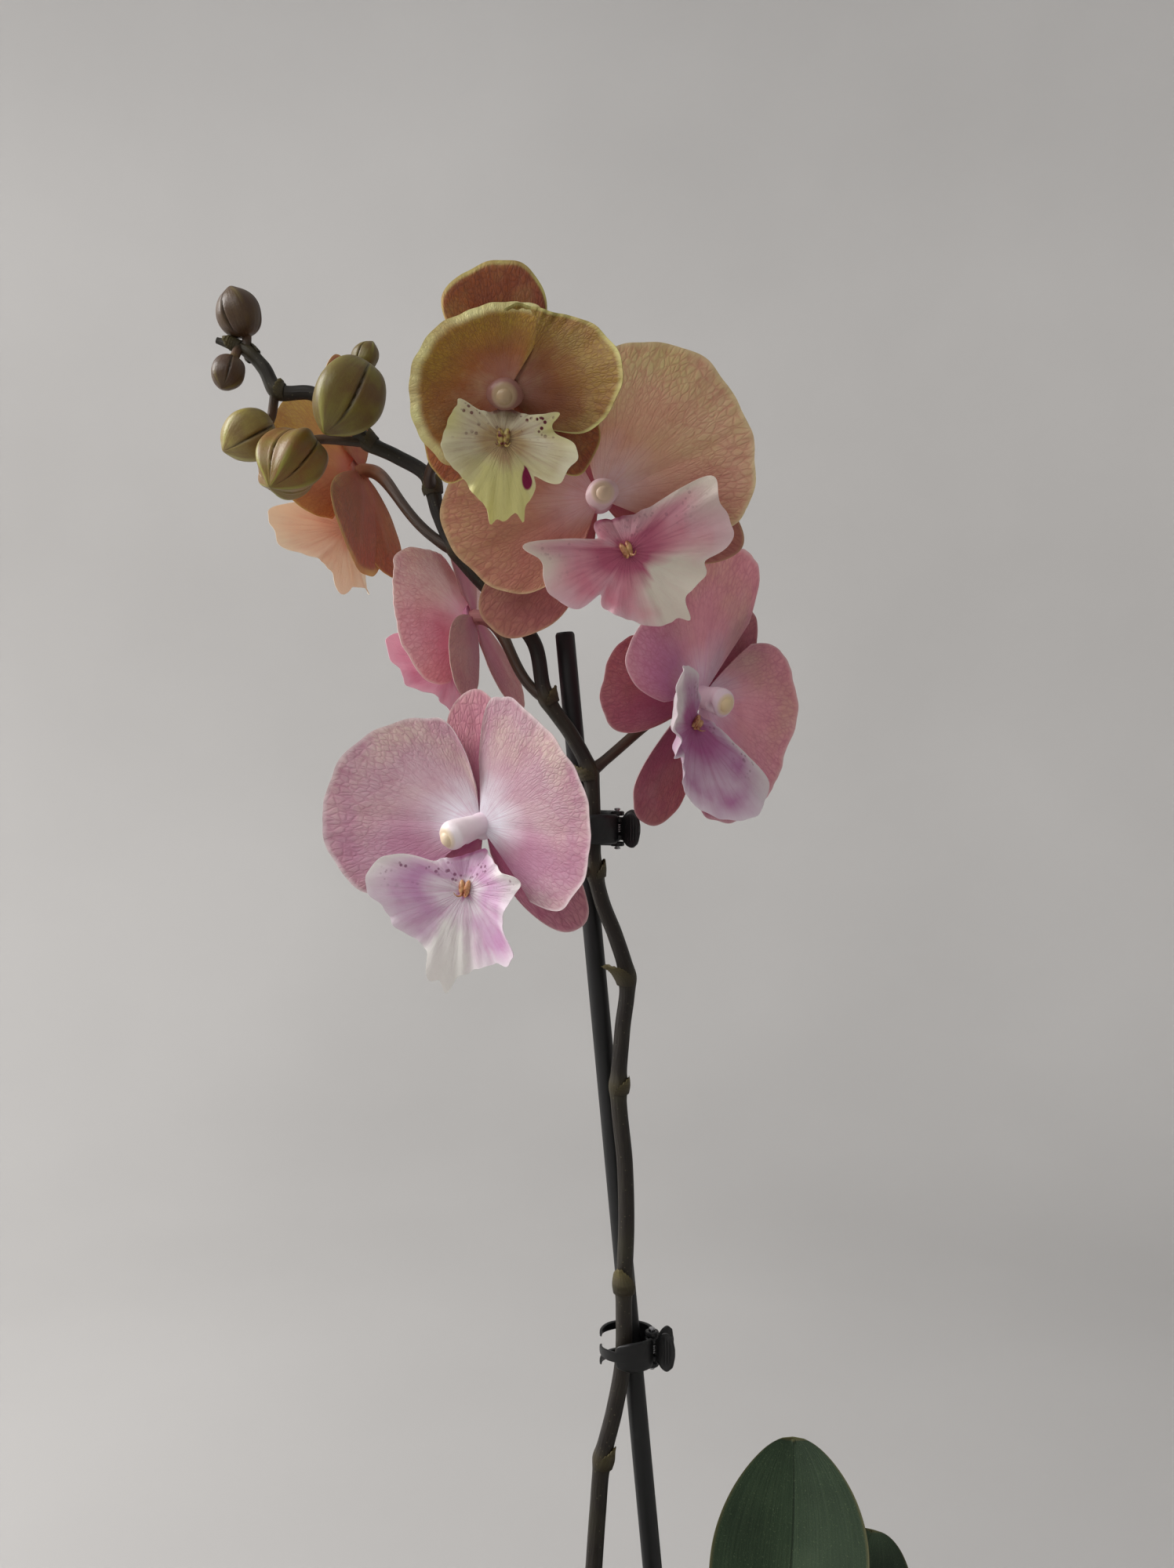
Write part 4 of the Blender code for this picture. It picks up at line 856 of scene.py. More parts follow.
def bud_finish(name, skin, tint, ridge):
    """Waxy bud: olive skin with purple-brown clouding, fine lengthwise veins, pale ridges that are a painted
    highlight on their crests, and dark seams.
    """
    f = Finish(name, Roughness=0.45, Specular_IOR_Level=0.45, Coat_Weight=0.1, Coat_Roughness=0.35)
    cloud = f.noise(f.place(), 90.0, 4.0, 0.6)
    veins = f.noise(f.surface(34.0, 2.0, 0.5), 1.0, 3.0)
    colour = f.mix(f.ramp(cloud, [(0.38, 0.0), (0.66, 0.85)]), tone(*skin), tone(*tint))
    colour = f.mix(f.ramp(veins, [(0.45, 0.0), (0.7, 0.45)]), colour, tone(*tint))
    # Painted highlight: the ridge crests lightened towards the ridge colour, as where they catch the light.
    colour = f.mix(f.ramp(f.mark("ridge"), [(0.55, 0.0), (1.0, 0.8)]), colour, tone(*ridge))
    colour = f.mix(f.ramp(f.mark("seam"), [(0.2, 0.0), (0.9, 0.85)]), colour, tone(52, 40, 22))
    f.colour(colour)
    f.relief(f.math("ADD", veins, f.math("MULTIPLY", f.noise(f.place(), 1400.0, 1.0), 0.4)), 0.0003, 0.6)
    return f.material


def leaf_finish():
    """Thick leaf: deep green, faint lengthwise veins, pale specks, a lighter underside and soft wax."""
    f = Finish("leaf_skin", Specular_IOR_Level=0.12)
    broad = f.noise(f.place(), 26.0, 4.0)
    veins = f.noise(f.surface(60.0, 3.0, 0.6), 1.0, 3.0)
    colour = f.ramp(broad, [(0.3, tone(38, 50, 36)), (0.55, tone(46, 60, 43)), (0.75, tone(56, 70, 51))])
    colour = f.mix(f.ramp(veins, [(0.45, 0.0), (0.75, 0.2)]), colour, tone(72, 86, 62))
    middle = f.ramp(f.math("ABSOLUTE", f.math("SUBTRACT", f.mark("across"), 0.5)), [(0.0, 1.0), (0.014, 0.0)])
    colour = f.mix(f.math("MULTIPLY", middle, 0.8), colour, tone(22, 30, 20))
    edge = f.ramp(f.mark("margin"), [(0.955, 0.0), (1.0, 0.7)])
    colour = f.mix(edge, colour, tone(98, 92, 62))
    colour = f.mix(f.math("MULTIPLY", f.mark("behind"), 0.5), colour, tone(96, 112, 74))
    pores = f.noise(f.place(), 1500.0, 1.0)
    colour = f.mix(f.ramp(pores, [(0.62, 0.0), (0.8, 0.3)]), colour, tone(110, 124, 92))
    f.colour(colour)
    f.rough(f.ramp(pores, [(0.3, 0.54), (0.7, 0.66)]))
    f.relief(f.math("ADD", veins, f.math("MULTIPLY", pores, 0.5)), 0.0004, 0.5)
    return f.material


def root_finish():
    """Root: silvery spongy skin with green showing through, cracks, and a fresh green tip."""
    f = Finish("root_skin", Roughness=0.8)
    mottle = f.noise(f.place(), 210.0, 4.0, 0.6)
    colour = f.ramp(mottle, [(0.32, tone(112, 122, 88)), (0.5, tone(168, 172, 150)),
                             (0.7, tone(196, 196, 180))])
    colour = f.mix(f.ramp(f.mark("travel"), [(0.86, 0.0), (0.95, 1.0)]), colour, tone(110, 128, 54))
    colour = f.mix(f.ramp(f.mark("travel"), [(0.0, 0.7), (0.2, 0.0)]), colour, tone(122, 100, 70))
    f.colour(colour)
    f.relief(mottle, 0.0008, 0.7)
    return f.material


def bark_finish():
    """Bark chips: brown, with grey weathered faces, long grain and small cracks, each its own shade."""
    f = Finish("bark_chip", Roughness=0.92)
    grain = f.noise(f.surface(3.0, 26.0, 1.0), 1.0, 4.0, 0.6)
    mottle = f.noise(f.place(), 170.0, 4.0, 0.6)
    colour = f.ramp(f.mark("shade"), [(0.0, tone(58, 38, 26)), (0.4, tone(96, 64, 42)),
                                      (0.75, tone(126, 90, 60)), (1.0, tone(150, 128, 104))])
    colour = f.mix(f.ramp(grain, [(0.4, 0.0), (0.7, 0.7)]), colour, tone(48, 32, 22))
    colour = f.mix(f.ramp(mottle, [(0.55, 0.0), (0.75, 0.5)]), colour, tone(150, 122, 90))
    f.colour(colour)
    f.relief(f.math("ADD", grain, mottle), 0.0012, 0.9)
    return f.material


def pot_finish():
    """Glazed pot: warm white glaze with soft pooling, sparse iron specks and a bare clay foot."""
    f = Finish("pot_glaze", Specular_IOR_Level=0.5, Coat_Weight=0.35, Coat_Roughness=0.12)
    pool = f.noise(f.place(), 22.0, 3.0)
    speck = f.ramp(f.cells(f.place(), 330.0, "F1"), [(0.05, 0.8), (0.12, 0.0)])
    height = f.add("SeparateXYZ", {0: f.place()}).outputs[2]
    bare = f.ramp(f.math("MULTIPLY", height, 100.0), [(0.18, 1.0), (0.3, 0.0)])
    colour = f.ramp(pool, [(0.35, tone(222, 218, 208)), (0.65, tone(236, 233, 226))])
    colour = f.mix(speck, colour, tone(132, 112, 90))
    colour = f.mix(bare, colour, tone(206, 186, 160))
    f.colour(colour)
    f.rough(f.math("ADD", f.math("MULTIPLY", bare, 0.5), f.ramp(pool, [(0.3, 0.22), (0.7, 0.34)])))
    f.relief(f.math("ADD", pool, f.math("MULTIPLY", f.noise(f.place(), 500.0, 2.0), 0.05)), 0.0009, 0.4)
    return f.material


def plastic_finish(name, roughness, grain_scale):
    """Black moulded plastic: near black with a fine grain, scuffs and a slightly worn sheen."""
    f = Finish(name, Specular_IOR_Level=0.5)
    grain = f.noise(f.place(), grain_scale, 2.0)
    scuff = f.noise(f.place(), 130.0, 4.0, 0.65)
    colour = f.ramp(scuff, [(0.4, tone(11, 11, 12)), (0.62, tone(17, 17, 18)), (0.8, tone(32, 32, 32))])
    f.colour(colour)
    f.rough(f.math("ADD", f.math("MULTIPLY", scuff, 0.25), roughness))
    f.relief(grain, 0.00012, 0.4)
    return f.material


def steel_finish():
    """Drawn steel wire: bright, with fine lines along it."""
    f = Finish("steel_wire", Metallic=1.0)
    lines = f.noise(f.surface(40.0, 2.0), 1.0, 2.0)
    f.colour(f.ramp(lines, [(0.3, tone(150, 150, 152)), (0.7, tone(196, 196, 198))]))
    f.rough(f.ramp(lines, [(0.3, 0.25), (0.7, 0.4)]))
    return f.material


# ---------------------------------------------------------------- flowers

def fan_of(outline, seed, axis=0.0, lean=0.0, bend=0.0, twist=0.0, cup=0.0, ruffle=1.0, roll=0.0, rim=0.975,
           shade=1.0, behind=0.0, mirror=False, start=0.0, rings=40, across=72, thick=0.42):  # fmt: skip
    """A petal or sepal from near its foot to its outline.

    With a along the axis and b across it, the sheet stands back by lean*a, bend*a*a and twist*a*b over its
    length. cup draws its middle back and lets its margin come forward, the margin waves by a sum of sines of
    the angle, and from rim outwards it is pale and rolls back by roll.
    """
    angles, radii = np.array(outline, float).T
    angle = np.linspace(angles[0], angles[-1], across + 1)[None, :]
    out = (np.linspace(0, 1, rings + 1) ** 0.9)[:, None]
    rng = np.random.default_rng(seed)
    radius = np.maximum(through(angles, radii, angle), start + 0.5)
    turn = np.radians(angle)
    phase = rng.uniform(0, 2 * pi, 4)
    radius = radius * (1 + 0.006 * np.sin(11 * turn + phase[0]) + 0.005 * np.sin(23 * turn + phase[1]))
    reach = start + (radius - start) * out
    a, b = reach * np.cos(turn), reach * np.sin(turn)
    length = radii.max()
    back = lean * a + bend * a * a / length + twist * a * b / length
    back = back - cup * (out**2 * 1.25 - out) + roll * smooth(out, rim - 0.03, 1.06) ** 1.5 + behind
    wave = 0.9 * np.sin(3.1 * turn + phase[1]) + 0.45 * np.sin(7.3 * turn + phase[2])
    wave = wave + 0.2 * np.sin(15 * turn + phase[3])
    back = back + ruffle * wave * out**3
    back = back + 0.10 * ruffle * np.sin(48 * turn + 3 * np.sin(5 * turn)) * smooth(out, 0.7, 1.0)
    # A shallow furrow along the axis, as the midrib makes.
    back = back + 0.35 * np.exp(-((b / 2.2) ** 2)) * smooth(out, 0.05, 0.3) * (1 - smooth(out, 0.7, 1.0))
    x = a * cos(radians(axis)) - b * sin(radians(axis))
    z = a * sin(radians(axis)) + b * cos(radians(axis))
    grid = np.stack([-x if mirror else x, back, z], -1)
    uv = np.stack(np.broadcast_arrays(turn, out), -1)
    low = 1 - smooth(angle + 0 * out, -20, 25)
    marks = {"out": out + 0 * angle, "low": low, "rim": smooth(out, rim, 0.4 * rim + 0.6) + 0 * angle}
    # shade: painted shade, a number that the finish multiplies into the whole piece's colour.
    marks["shade"] = np.full_like(low, shade)
    half = 0.5 * thick * (1 - 0.55 * smooth(out, 0.75, 1.0)) + 0 * angle
    if mirror:
        grid, uv, half = grid[:, ::-1], uv[:, ::-1], half[:, ::-1]
        marks = {key: value[:, ::-1] for key, value in marks.items()}
    return sheet_of(grid, half, uv, marks)


def lip_of(outline, seed, centre, fold, curl=0.0, rings=46, across=300, thick=0.45):
    """The lip, as a disc round its callus. a runs down the middle lobe and b across.

    The side lobes come forward by fold*|b|, the middle lobe curves back by a*a and is pleated along its
    length, a crease parts it from each side lobe, the margin ripples, and the top edge is drawn back to the
    column. curl turns its left margin forward.
    """
    angles, radii = np.array(outline, float).T
    angle = np.linspace(-180, 180, across + 1)[None, :]
    turn = np.radians(angle)
    out = np.linspace(0, 1, rings + 1)[:, None]
    rng = np.random.default_rng(seed)
    phase = rng.uniform(0, 2 * pi, 4)
    radius = through(angles, radii, angle)
    radius = radius * (1 + 0.008 * np.sin(13 * turn + phase[0]) + 0.006 * np.sin(29 * turn + phase[1]))
    reach = radius * out
    a, b = reach * np.cos(turn), reach * np.sin(turn)
    back = fold * (np.sqrt(b * b + 6.0) - 2.45) + 4.5 * out**2 * np.clip(-np.cos(turn), 0, 1) ** 6
    back = back + 0.002 * np.clip(a, 0, 40) ** 2
    back = back - 1.0 * np.exp(-((b / 2.5) ** 2)) * smooth(a, 2, 10)
    back = back + 0.3 * np.cos(1.3 * b + phase[0]) * smooth(a, 5, 15) * np.exp(-((b / 8.0) ** 2))
    for side in (-0.8, 0.8):
        back = back + 1.3 * np.exp(-(((turn - side) / 0.17) ** 2)) * smooth(out, 0.2, 0.7)
    back = back - curl * smooth(out, 0.62, 1.0) * np.exp(-((turn + 0.6) ** 2))
    wave = np.sin(5 * turn + phase[1]) + 0.6 * np.sin(11 * turn + phase[2])
    wave = wave + 0.3 * np.sin(19 * turn + phase[3])
    back = back + 1.1 * wave * out**3
    back = back + 0.12 * np.sin(37 * turn + 2 * np.sin(3 * turn)) * smooth(out, 0.8, 1.0)
    grid = np.stack([b, back, -a], -1) + np.array(centre, float)
    uv = np.stack(np.broadcast_arrays(0.5 + turn / (2 * pi), out), -1)
    half = 0.5 * thick * (1 - 0.6 * smooth(out, 0.7, 1.0)) + 0 * angle
    return sheet_of(grid, half, uv, {"out": out + 0 * angle}, closed=True)


def callus_of(centre):
    """The callus: two low flanks side by side, and a pair of fine horns that part and curl up."""
    x, y, z = centre
    t = np.linspace(-1, 1, 17)
    s = np.linspace(0, 1, 16)
    pieces = []
    for side in (-1, 1):
        line = np.stack([x + side * (0.9 + 0.35 * t), y - 1.1 + 0.7 * t * t, z + 0.8 + 2.7 * t], -1)
        pieces.append(tube_of(line, 1.05 * np.sqrt(np.clip(1.02 - t * t, 0, 1)), 16))
        line = np.stack([x + side * (0.5 + 1.9 * s**1.5), y - 1.5 - 2.4 * s,
                         z - 1.0 - 2.2 * s + 2.6 * s**3], -1)
        pieces.append(tube_of(line, 0.5 * (1 - 0.8 * s), 10))
    return pieces[0] + pieces[1] + pieces[2] + pieces[3]


def column_of(across, rise):
    """The column: a stout shaft that leans forward, with a hood, a hollow under it and a round cap."""
    s = np.linspace(0, 1, 44)
    line = np.stack([across * 1.1 * s**1.2, 1.8 - 14.2 * s, 0.1 + (rise - 3.2) * s**1.4], -1)
    radius = through([0, 0.12, 0.4, 0.7, 0.84, 0.93, 0.98, 1.0], [5.0, 4.2, 4.2, 4.9, 4.9, 4.0, 2.6, 0.5], s)

    def hollow(angle, travelled):
        """Scales the shaft: scooped out underneath near its tip, and drawn out to a wing at each side."""
        under = np.exp(-(((angle - 1.5 * pi) / 0.55) ** 2))
        wings = 0.14 * np.abs(np.cos(angle)) ** 5 * smooth(travelled, 0.3, 0.65)
        wings = wings * (1 - smooth(travelled, 0.8, 0.9))
        return 1 - 0.5 * under * np.exp(-(((travelled - 0.70) / 0.09) ** 2)) + wings

    shaft = tube_of(line, radius, 36, hollow, up=(0, 0, 1.0))
    t = np.linspace(-1, 1, 19)
    forward = unit(line[-1] - line[-8])
    cap_line = line[-1] - forward * (1.7 - 2.6 * t[:, None]) + [0, 0, -0.4]
    cap = tube_of(cap_line, 2.9 * np.sqrt(np.clip(1 - t * t, 0, 1)), 26, up=(0, 0, 1.0))
    cap.marks["travel"][:] = 1.0
    return shaft + cap


def spike_points():
    """The spike's whole centre line, from the crown to the growing tip."""
    return np.array(SPIKE_FOOT + [(x, 0.0, z) for x, z in SPIKE_LINE])


def spike_radius(travelled):
    """The spike's radius: a straight taper, and a point over the last of its length."""
    radii = SPIKE_RADIUS_LOW + (SPIKE_RADIUS_HIGH - SPIKE_RADIUS_LOW) * travelled
    return radii * (1 - 0.55 * np.clip((travelled - 0.97) / 0.03, 0, 1))


def stalk_start(node, leave):
    """The point just inside the spike where a stalk leaves its node in the direction leave."""
    line = along(spike_points(), 400)
    nearest = np.argmin(np.linalg.norm(line - np.array([node[0], 0, node[1]]), axis=1))
    leave = unit(leave)
    return line[nearest] + leave * spike_radius(nearest / 399) * 0.5, leave


def place_of(surface, matrix, middle):
    """The surface turned by the matrix and carried to middle."""
    surface.points = surface.points @ matrix.T + middle
    return surface


# The colour of a flower's stalk where it meets the flower.
STALK_FAR = {
    "pink": (226, 168, 184), "mauve": (176, 110, 110), "rose_pink": (210, 140, 140),
    "peach": (196, 130, 110), "amber": (170, 110, 80), "ochre": (150, 96, 56),
}  # fmt: skip


def make_flower(name, number, turn, node, leave, palette, column, petal_right, petal_left, dorsal,
                sepal_right, sepal_left, lip):
    """Every piece of one flower, placed from the middle of its column."""
    matrix = turn_matrix(*turn)
    low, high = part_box(name + "_column")
    across, rise = column
    centre = np.array(COLUMN_MIDDLE) + (across / 2, 0, rise / 2)
    middle = (np.array(low) + np.array(high)) / 2 / MM - matrix @ centre
    lit = 0.4 if palette in ("mauve", "rose_pink") else 0.22
    petal_skin = petal_finish(name + "_petal_skin", PETAL_COLOURS[palette], through_share=lit)
    sepal_skin = petal_finish(name + "_sepal_skin", SEPAL_COLOURS[palette], 0.12, 0.15)
    petals = (("petal_right", petal_right), ("petal_left", petal_left))
    for k, (key, petal) in enumerate(petals):
        petal = dict(petal)
        shades = petal.pop("palette", palette)
        skin = petal_skin if shades == palette else petal_finish(f"{name}_{key}_skin", PETAL_COLOURS[shades])
        surface = fan_of(seed=10 * number + k, start=2.6, mirror=key == "petal_left", rings=52, across=150,
                         **petal)
        make(f"{name}_{key}_skin", place_of(surface, matrix, middle), skin,
             stands_for=(f"{name}_{key}",))
    sepals = (("dorsal", dorsal), ("sepal_right", sepal_right), ("sepal_left", sepal_left))
    for k, (key, sepal) in enumerate(sepals):
        surface = fan_of(seed=10 * number + 4 + k, start=1.0, mirror=key == "sepal_left", ruffle=0.5, cup=1.5,
                         **sepal)
        surface.points = surface.points + np.array([0, 2.2, 0])
        make(f"{name}_{key}_skin", place_of(surface, matrix, middle), sepal_skin)
    make(f"{name}_lip_skin", place_of(lip_of(seed=10 * number + 8, **lip), matrix, middle),
         lip_finish(name + "_lip_skin", **LIPS[palette]), stands_for=(name + "_lip",))
    make(f"{name}_callus", place_of(callus_of(lip["centre"]), matrix, middle),
         OLIVE_CALLUS if palette == "ochre" else TAN_CALLUS)
    make(f"{name}_column_skin", place_of(column_of(across, rise), matrix, middle),
         column_finish(name + "_column_wax", *COLUMN_COLOURS[palette]),
         stands_for=(name + "_column",))
    begin, leave = stalk_start(node, leave)
    ends = np.array([(0, 1.5, 0), (0, 17, -1)]) @ matrix.T + middle
    pull = 0.35 * np.linalg.norm(ends[0] - begin)
    line = bezier(begin, begin + leave * pull, ends[1], ends[0], 70)
    s = np.linspace(0, 1, 70)
    swell = 1.12 - 0.2 * smooth(s, 0.0, 0.12) + 0.3 * smooth(s, 0.45, 0.85) + 0.25 * smooth(s, 0.9, 1.0)
    radius = STALK_RADIUS * swell
    ribs = tube_of(line, radius, 30, lambda angle, t: 1 + 0.05 * np.cos(6 * angle) * smooth(t, 0.4, 0.6))
    skin = stalk_finish(name + "_stalk_skin", (48, 36, 28), STALK_FAR[palette])
    make(f"{name}_stalk", ribs, skin, stands_for=(name + "_calyx",))


# ---------------------------------------------------------------- buds and spike

def make_bud(name, number, middle, tip, size, node, ridge, ridges, skin):
    """A closed bud: an egg with a ridge down each sepal and a seam where two sepals meet."""
    middle, tip = np.array(middle, float), unit(tip)
    wide, long = size
    side = unit(np.cross(tip, (0.2, 1.0, 0.3)))
    over = np.cross(side, tip)
    lat = np.linspace(-pi / 2, pi / 2, 61)[:, None]
    lon = np.linspace(0, 2 * pi, 121)[None, :]
    rng = np.random.default_rng(200 + number)
    lon_ridge = lon + 0.18 * np.sin(lat + rng.uniform(0, 3))
    crest = 0.5 + 0.5 * np.cos(ridges * lon_ridge)
    seam = np.exp(-((np.sin(ridges * lon_ridge / 2 + pi / 2) / 0.10) ** 2)) * np.cos(lat) ** 0.5
    belly = np.cos(lat) ** (0.86 + 0.25 * (lat > 0))
    reach = wide * belly * (1 - ridge * 0.5 + ridge * crest**2 - 0.11 * seam)
    reach = reach * (1 + 0.015 * np.sin(3 * lon + 4 * lat + number))
    height = long * np.sin(lat) * (1 + 0.08 * smooth(lat, 1.1, pi / 2)) + 0 * lon
    grid = height[..., None] * tip + (reach * np.cos(lon))[..., None] * side
    grid = grid + (reach * np.sin(lon))[..., None] * over
    uv = np.stack(np.broadcast_arrays(lon / (2 * pi), lat / pi + 0.5), -1)
    body = Surface((middle + grid).reshape(-1, 3), quads_of(61, 121)[:, ::-1], uv.reshape(-1, 2))
    # Where the ridge crests take the painted highlight, stronger towards the tip.
    body.marks["ridge"] = (crest**6 * (0.3 + 0.7 * smooth(lat, -0.6, 1.0)) + 0 * lon).reshape(-1)
    body.marks["seam"] = (seam * (1 + 0 * lat)).reshape(-1)
    make(name + "_skin", body, skin, stands_for=(name,))
    back = middle - tip * long * 0.8
    begin, leave = stalk_start(node, back - np.array([node[0], 0, node[1]]))
    pull = 0.35 * np.linalg.norm(back - begin)
    line = bezier(begin, begin + leave * pull, back - tip * pull, back, 40)
    s = np.linspace(0, 1, 40)
    radius = STALK_RADIUS * 0.85 * (1.1 - 0.15 * smooth(s, 0, 0.2) + 0.25 * smooth(s, 0.7, 1.0))
    make(name + "_stalk", tube_of(line, radius, 24), BUD_STALK)


def make_spike():
    """The spike: a tube that swells at each node, then its bracts."""
    count = 700
    line = along(spike_points(), count)
    travelled = np.linspace(0, 1, count)
    radii = spike_radius(travelled)
    swelling = np.zeros(count)
    nodes = [bract[0] for bract in BRACTS]
    for height in nodes:
        index = np.argmin(np.abs(line[:, 2] - height))
        gap = np.linalg.norm(line - line[index], axis=1)
        swelling = np.maximum(swelling, np.exp(-((gap / 3.2) ** 2)))
    radii = radii * (1 + 0.24 * swelling)
    tube = tube_of(
        line, radii, 28,
        lambda angle, t: 1 + 0.02 * np.sin(5 * angle + 20 * t) + 0.012 * np.sin(9 * angle - 45 * t),
    )  # fmt: skip
    ring = np.concatenate([swelling[:1], swelling, swelling[-1:]])
    tube.marks["node"] = np.repeat(ring, 29)
    make("spike_skin", tube, STEM_SKIN, stands_for=("flower_spike",))
    scales = None
    for height, heading, length, lift in BRACTS:
        scale = bract_of(line, radii, height, heading, length, lift)
        scales = scale if scales is None else scales + scale
    make("spike_bracts", scales, BRACT_SKIN)


def bract_of(line, radii, height, heading, length, lift):
    """A pointed scale that hugs the spike from a node upwards. lift is how far its tip stands off."""
    rows, columns = 22, 21
    index = int(np.argmin(np.abs(line[:, 2] - height)))
    step = np.linalg.norm(line[1] - line[0])
    up = np.linspace(0, 1, rows)[:, None]
    side = np.linspace(-1, 1, columns)[None, :]
    spot = np.clip(index - 3 + (up[:, 0] * length / step).astype(int), 0, len(line) - 1)
    tangent = unit(np.gradient(line, axis=0)[spot])
    level = unit(np.cross(tangent, (0, 1.0, 0.05)))
    depth = np.cross(level, tangent)
    angle = radians(heading) + side * 1.9 * (1 - up**1.6) ** 0.8
    reach = radii[spot][:, None] * 1.06 + 0.25 + lift * length * up**2 * (1 - 0.4 * np.abs(side))
    grid = line[spot][:, None] + reach[..., None] * (
        np.cos(angle)[..., None] * level[:, None] + np.sin(angle)[..., None] * depth[:, None]
    )
    uv = np.stack(np.broadcast_arrays(side * 0.5 + 0.5, up), -1)
    return sheet_of(grid[:, ::-1], 0.22, uv, {"out": up + 0 * side})


# ---------------------------------------------------------------- leaves, crown and roots

def leaf_of(heading, sweep, length, width, rise, foot, rows=110, columns=40):
    """A strap leaf: a line that arches from the crown and sweeps sideways, with a folded foot, a wide blade
    and a round tip. The blade is a trough about its midrib, and its margins wave a little."""
    s = np.linspace(0, 1, rows + 1)
    s = s + 0.09 * np.sin(pi * s) * s
    steepness = np.radians(rise[0] + (rise[1] - rise[0]) * s**0.8)
    turn = np.radians(heading + sweep * s)
    out = np.stack([np.cos(turn), np.sin(turn), 0 * s], -1)
    across = np.stack([-np.sin(turn), np.cos(turn), 0 * s], -1)
    upward = np.array([0, 0, 1.0])
    aim = np.cos(steepness)[:, None] * out + np.sin(steepness)[:, None] * upward
    steps = aim * np.gradient(s)[:, None] * length
    blade = through([0, 0.12, 0.35, 0.62, 0.8, 1], [0.3, 0.34, 0.8, 1, 0.96, 0.8], s)
    half = 0.5 * width * blade * np.sqrt(np.clip(1 - np.clip((s - 0.58) / 0.42, 0, 1) ** 2.1, 0, 1))
    side = np.linspace(-1, 1, columns + 1)
    fold = np.sqrt(side[None, :] ** 2 + 0.05) - 0.2236 - 0.035 * np.exp(-((side[None, :] / 0.05) ** 2))
    trough = fold * half[:, None] * (0.75 - 0.55 * s[:, None])
    up = np.cos(steepness)[:, None] * upward - np.sin(steepness)[:, None] * out
    start = np.array(CROWN_BASE) + out[0] * foot[0] + upward * foot[1]
    line = start + np.concatenate([[(0, 0, 0)], np.cumsum(steps[1:], axis=0)])
    wave = 0.9 * np.sin(7 * s[:, None] + heading) * side[None, :] ** 2 * smooth(s, 0.2, 0.5)[:, None]
    notch = -1.2 * np.exp(-((side[None, :] / 0.10) ** 2)) * smooth(s, 0.97, 1.0)[:, None]
    grid = line[:, None] + (side[None, :] * half[:, None])[..., None] * across[:, None]
    grid = grid + (trough + wave)[..., None] * up[:, None] + notch[..., None] * out[:, None]
    thick = 0.3 + 0.75 * (1 - np.abs(side[None, :]) ** 3) * (1 - 0.5 * s[:, None])
    uv = np.stack(np.broadcast_arrays(side[None, :] * 0.5 + 0.5, s[:, None]), -1)
    margin = np.maximum(np.abs(side)[None, :] + 0 * s[:, None],
                        smooth(s, 0.9, 1.0)[:, None] + 0 * side[None, :])
    return sheet_of(grid, thick, uv, {"across": uv[..., 0], "margin": margin})


def sheath_of(number, heading, foot):
    """The foot of a leaf where it clasps the crown: a collar that swells out to meet its blade."""
    turn = np.linspace(-1.9, 1.9, 41)[None, :]
    up = np.linspace(0, 1, 25)[:, None]
    swell = (foot[0] - 8.0) * smooth(up, 0.15, 1.0) * np.exp(-((turn / 0.75) ** 2))
    reach = 8.7 + 0.45 * number + 1.2 * np.sin(pi * up) + swell
    height = CROWN_BASE[2] - 2.0 + up * (foot[1] + 5.0 - 3.0 * (turn / 1.9) ** 2)
    angle = radians(heading) + turn
    grid = np.stack([CROWN_BASE[0] + reach * np.cos(angle), CROWN_BASE[1] + reach * np.sin(angle), height],
                    -1)
    uv = np.stack(np.broadcast_arrays(turn / 3.8 + 0.5, up), -1)
    marks = {"across": uv[..., 0] * 0 + 0.3, "margin": up + 0 * turn - 0.02}
    return sheet_of(grid[:, ::-1], 0.5, uv[:, ::-1], marks)


def make_leaves():
    """The leaves in two ranks with their sheaths, and the crown they grow from."""
    for number, (name, leaf) in enumerate(LEAVES.items()):
        surface = leaf_of(**leaf) + sheath_of(number, leaf["heading"], leaf["foot"])
        make(name + "_skin", surface, LEAF_SKIN, stands_for=(name,))
    level = np.linspace(0, 1, 30)
    line = np.array(CROWN_BASE) + np.outer(level * CROWN_HEIGHT, (0, 0, 1.0))
    radius = 8.2 * (0.62 + 0.38 * np.sin(pi * (0.15 + 0.7 * level))) * (1 - 0.5 * smooth(level, 0.7, 1.0))
    rings = tube_of(line, radius, 40, lambda angle, t: 1 + 0.03 * np.sin(26 * t + np.sin(angle)))
    make("crown_skin", rings, BRACT_SKIN, stands_for=("crown",))


def make_roots():
    """The aerial roots, which swell a little along their length and end in a round growing tip."""
    for number, (name, points) in enumerate(ROOTS.items()):
        line = along(points, 110)
        s = np.linspace(0, 1, 110)
        radius = 2.6 * (1 - 0.2 * s) * (1 + 0.05 * np.sin(31 * s + number))
        radius = radius * np.sqrt(np.clip((1.004 - s) / 0.03, 0, 1))
        tube = tube_of(
            line, radius, 24,
            lambda angle, t: 1 + 0.04 * np.sin(2 * angle + 17 * t) + 0.02 * np.sin(5 * angle + 60 * t),
        )  # fmt: skip
        make(name + "_skin", tube, ROOT_SKIN, stands_for=(name,))


# ---------------------------------------------------------------- pot and bark

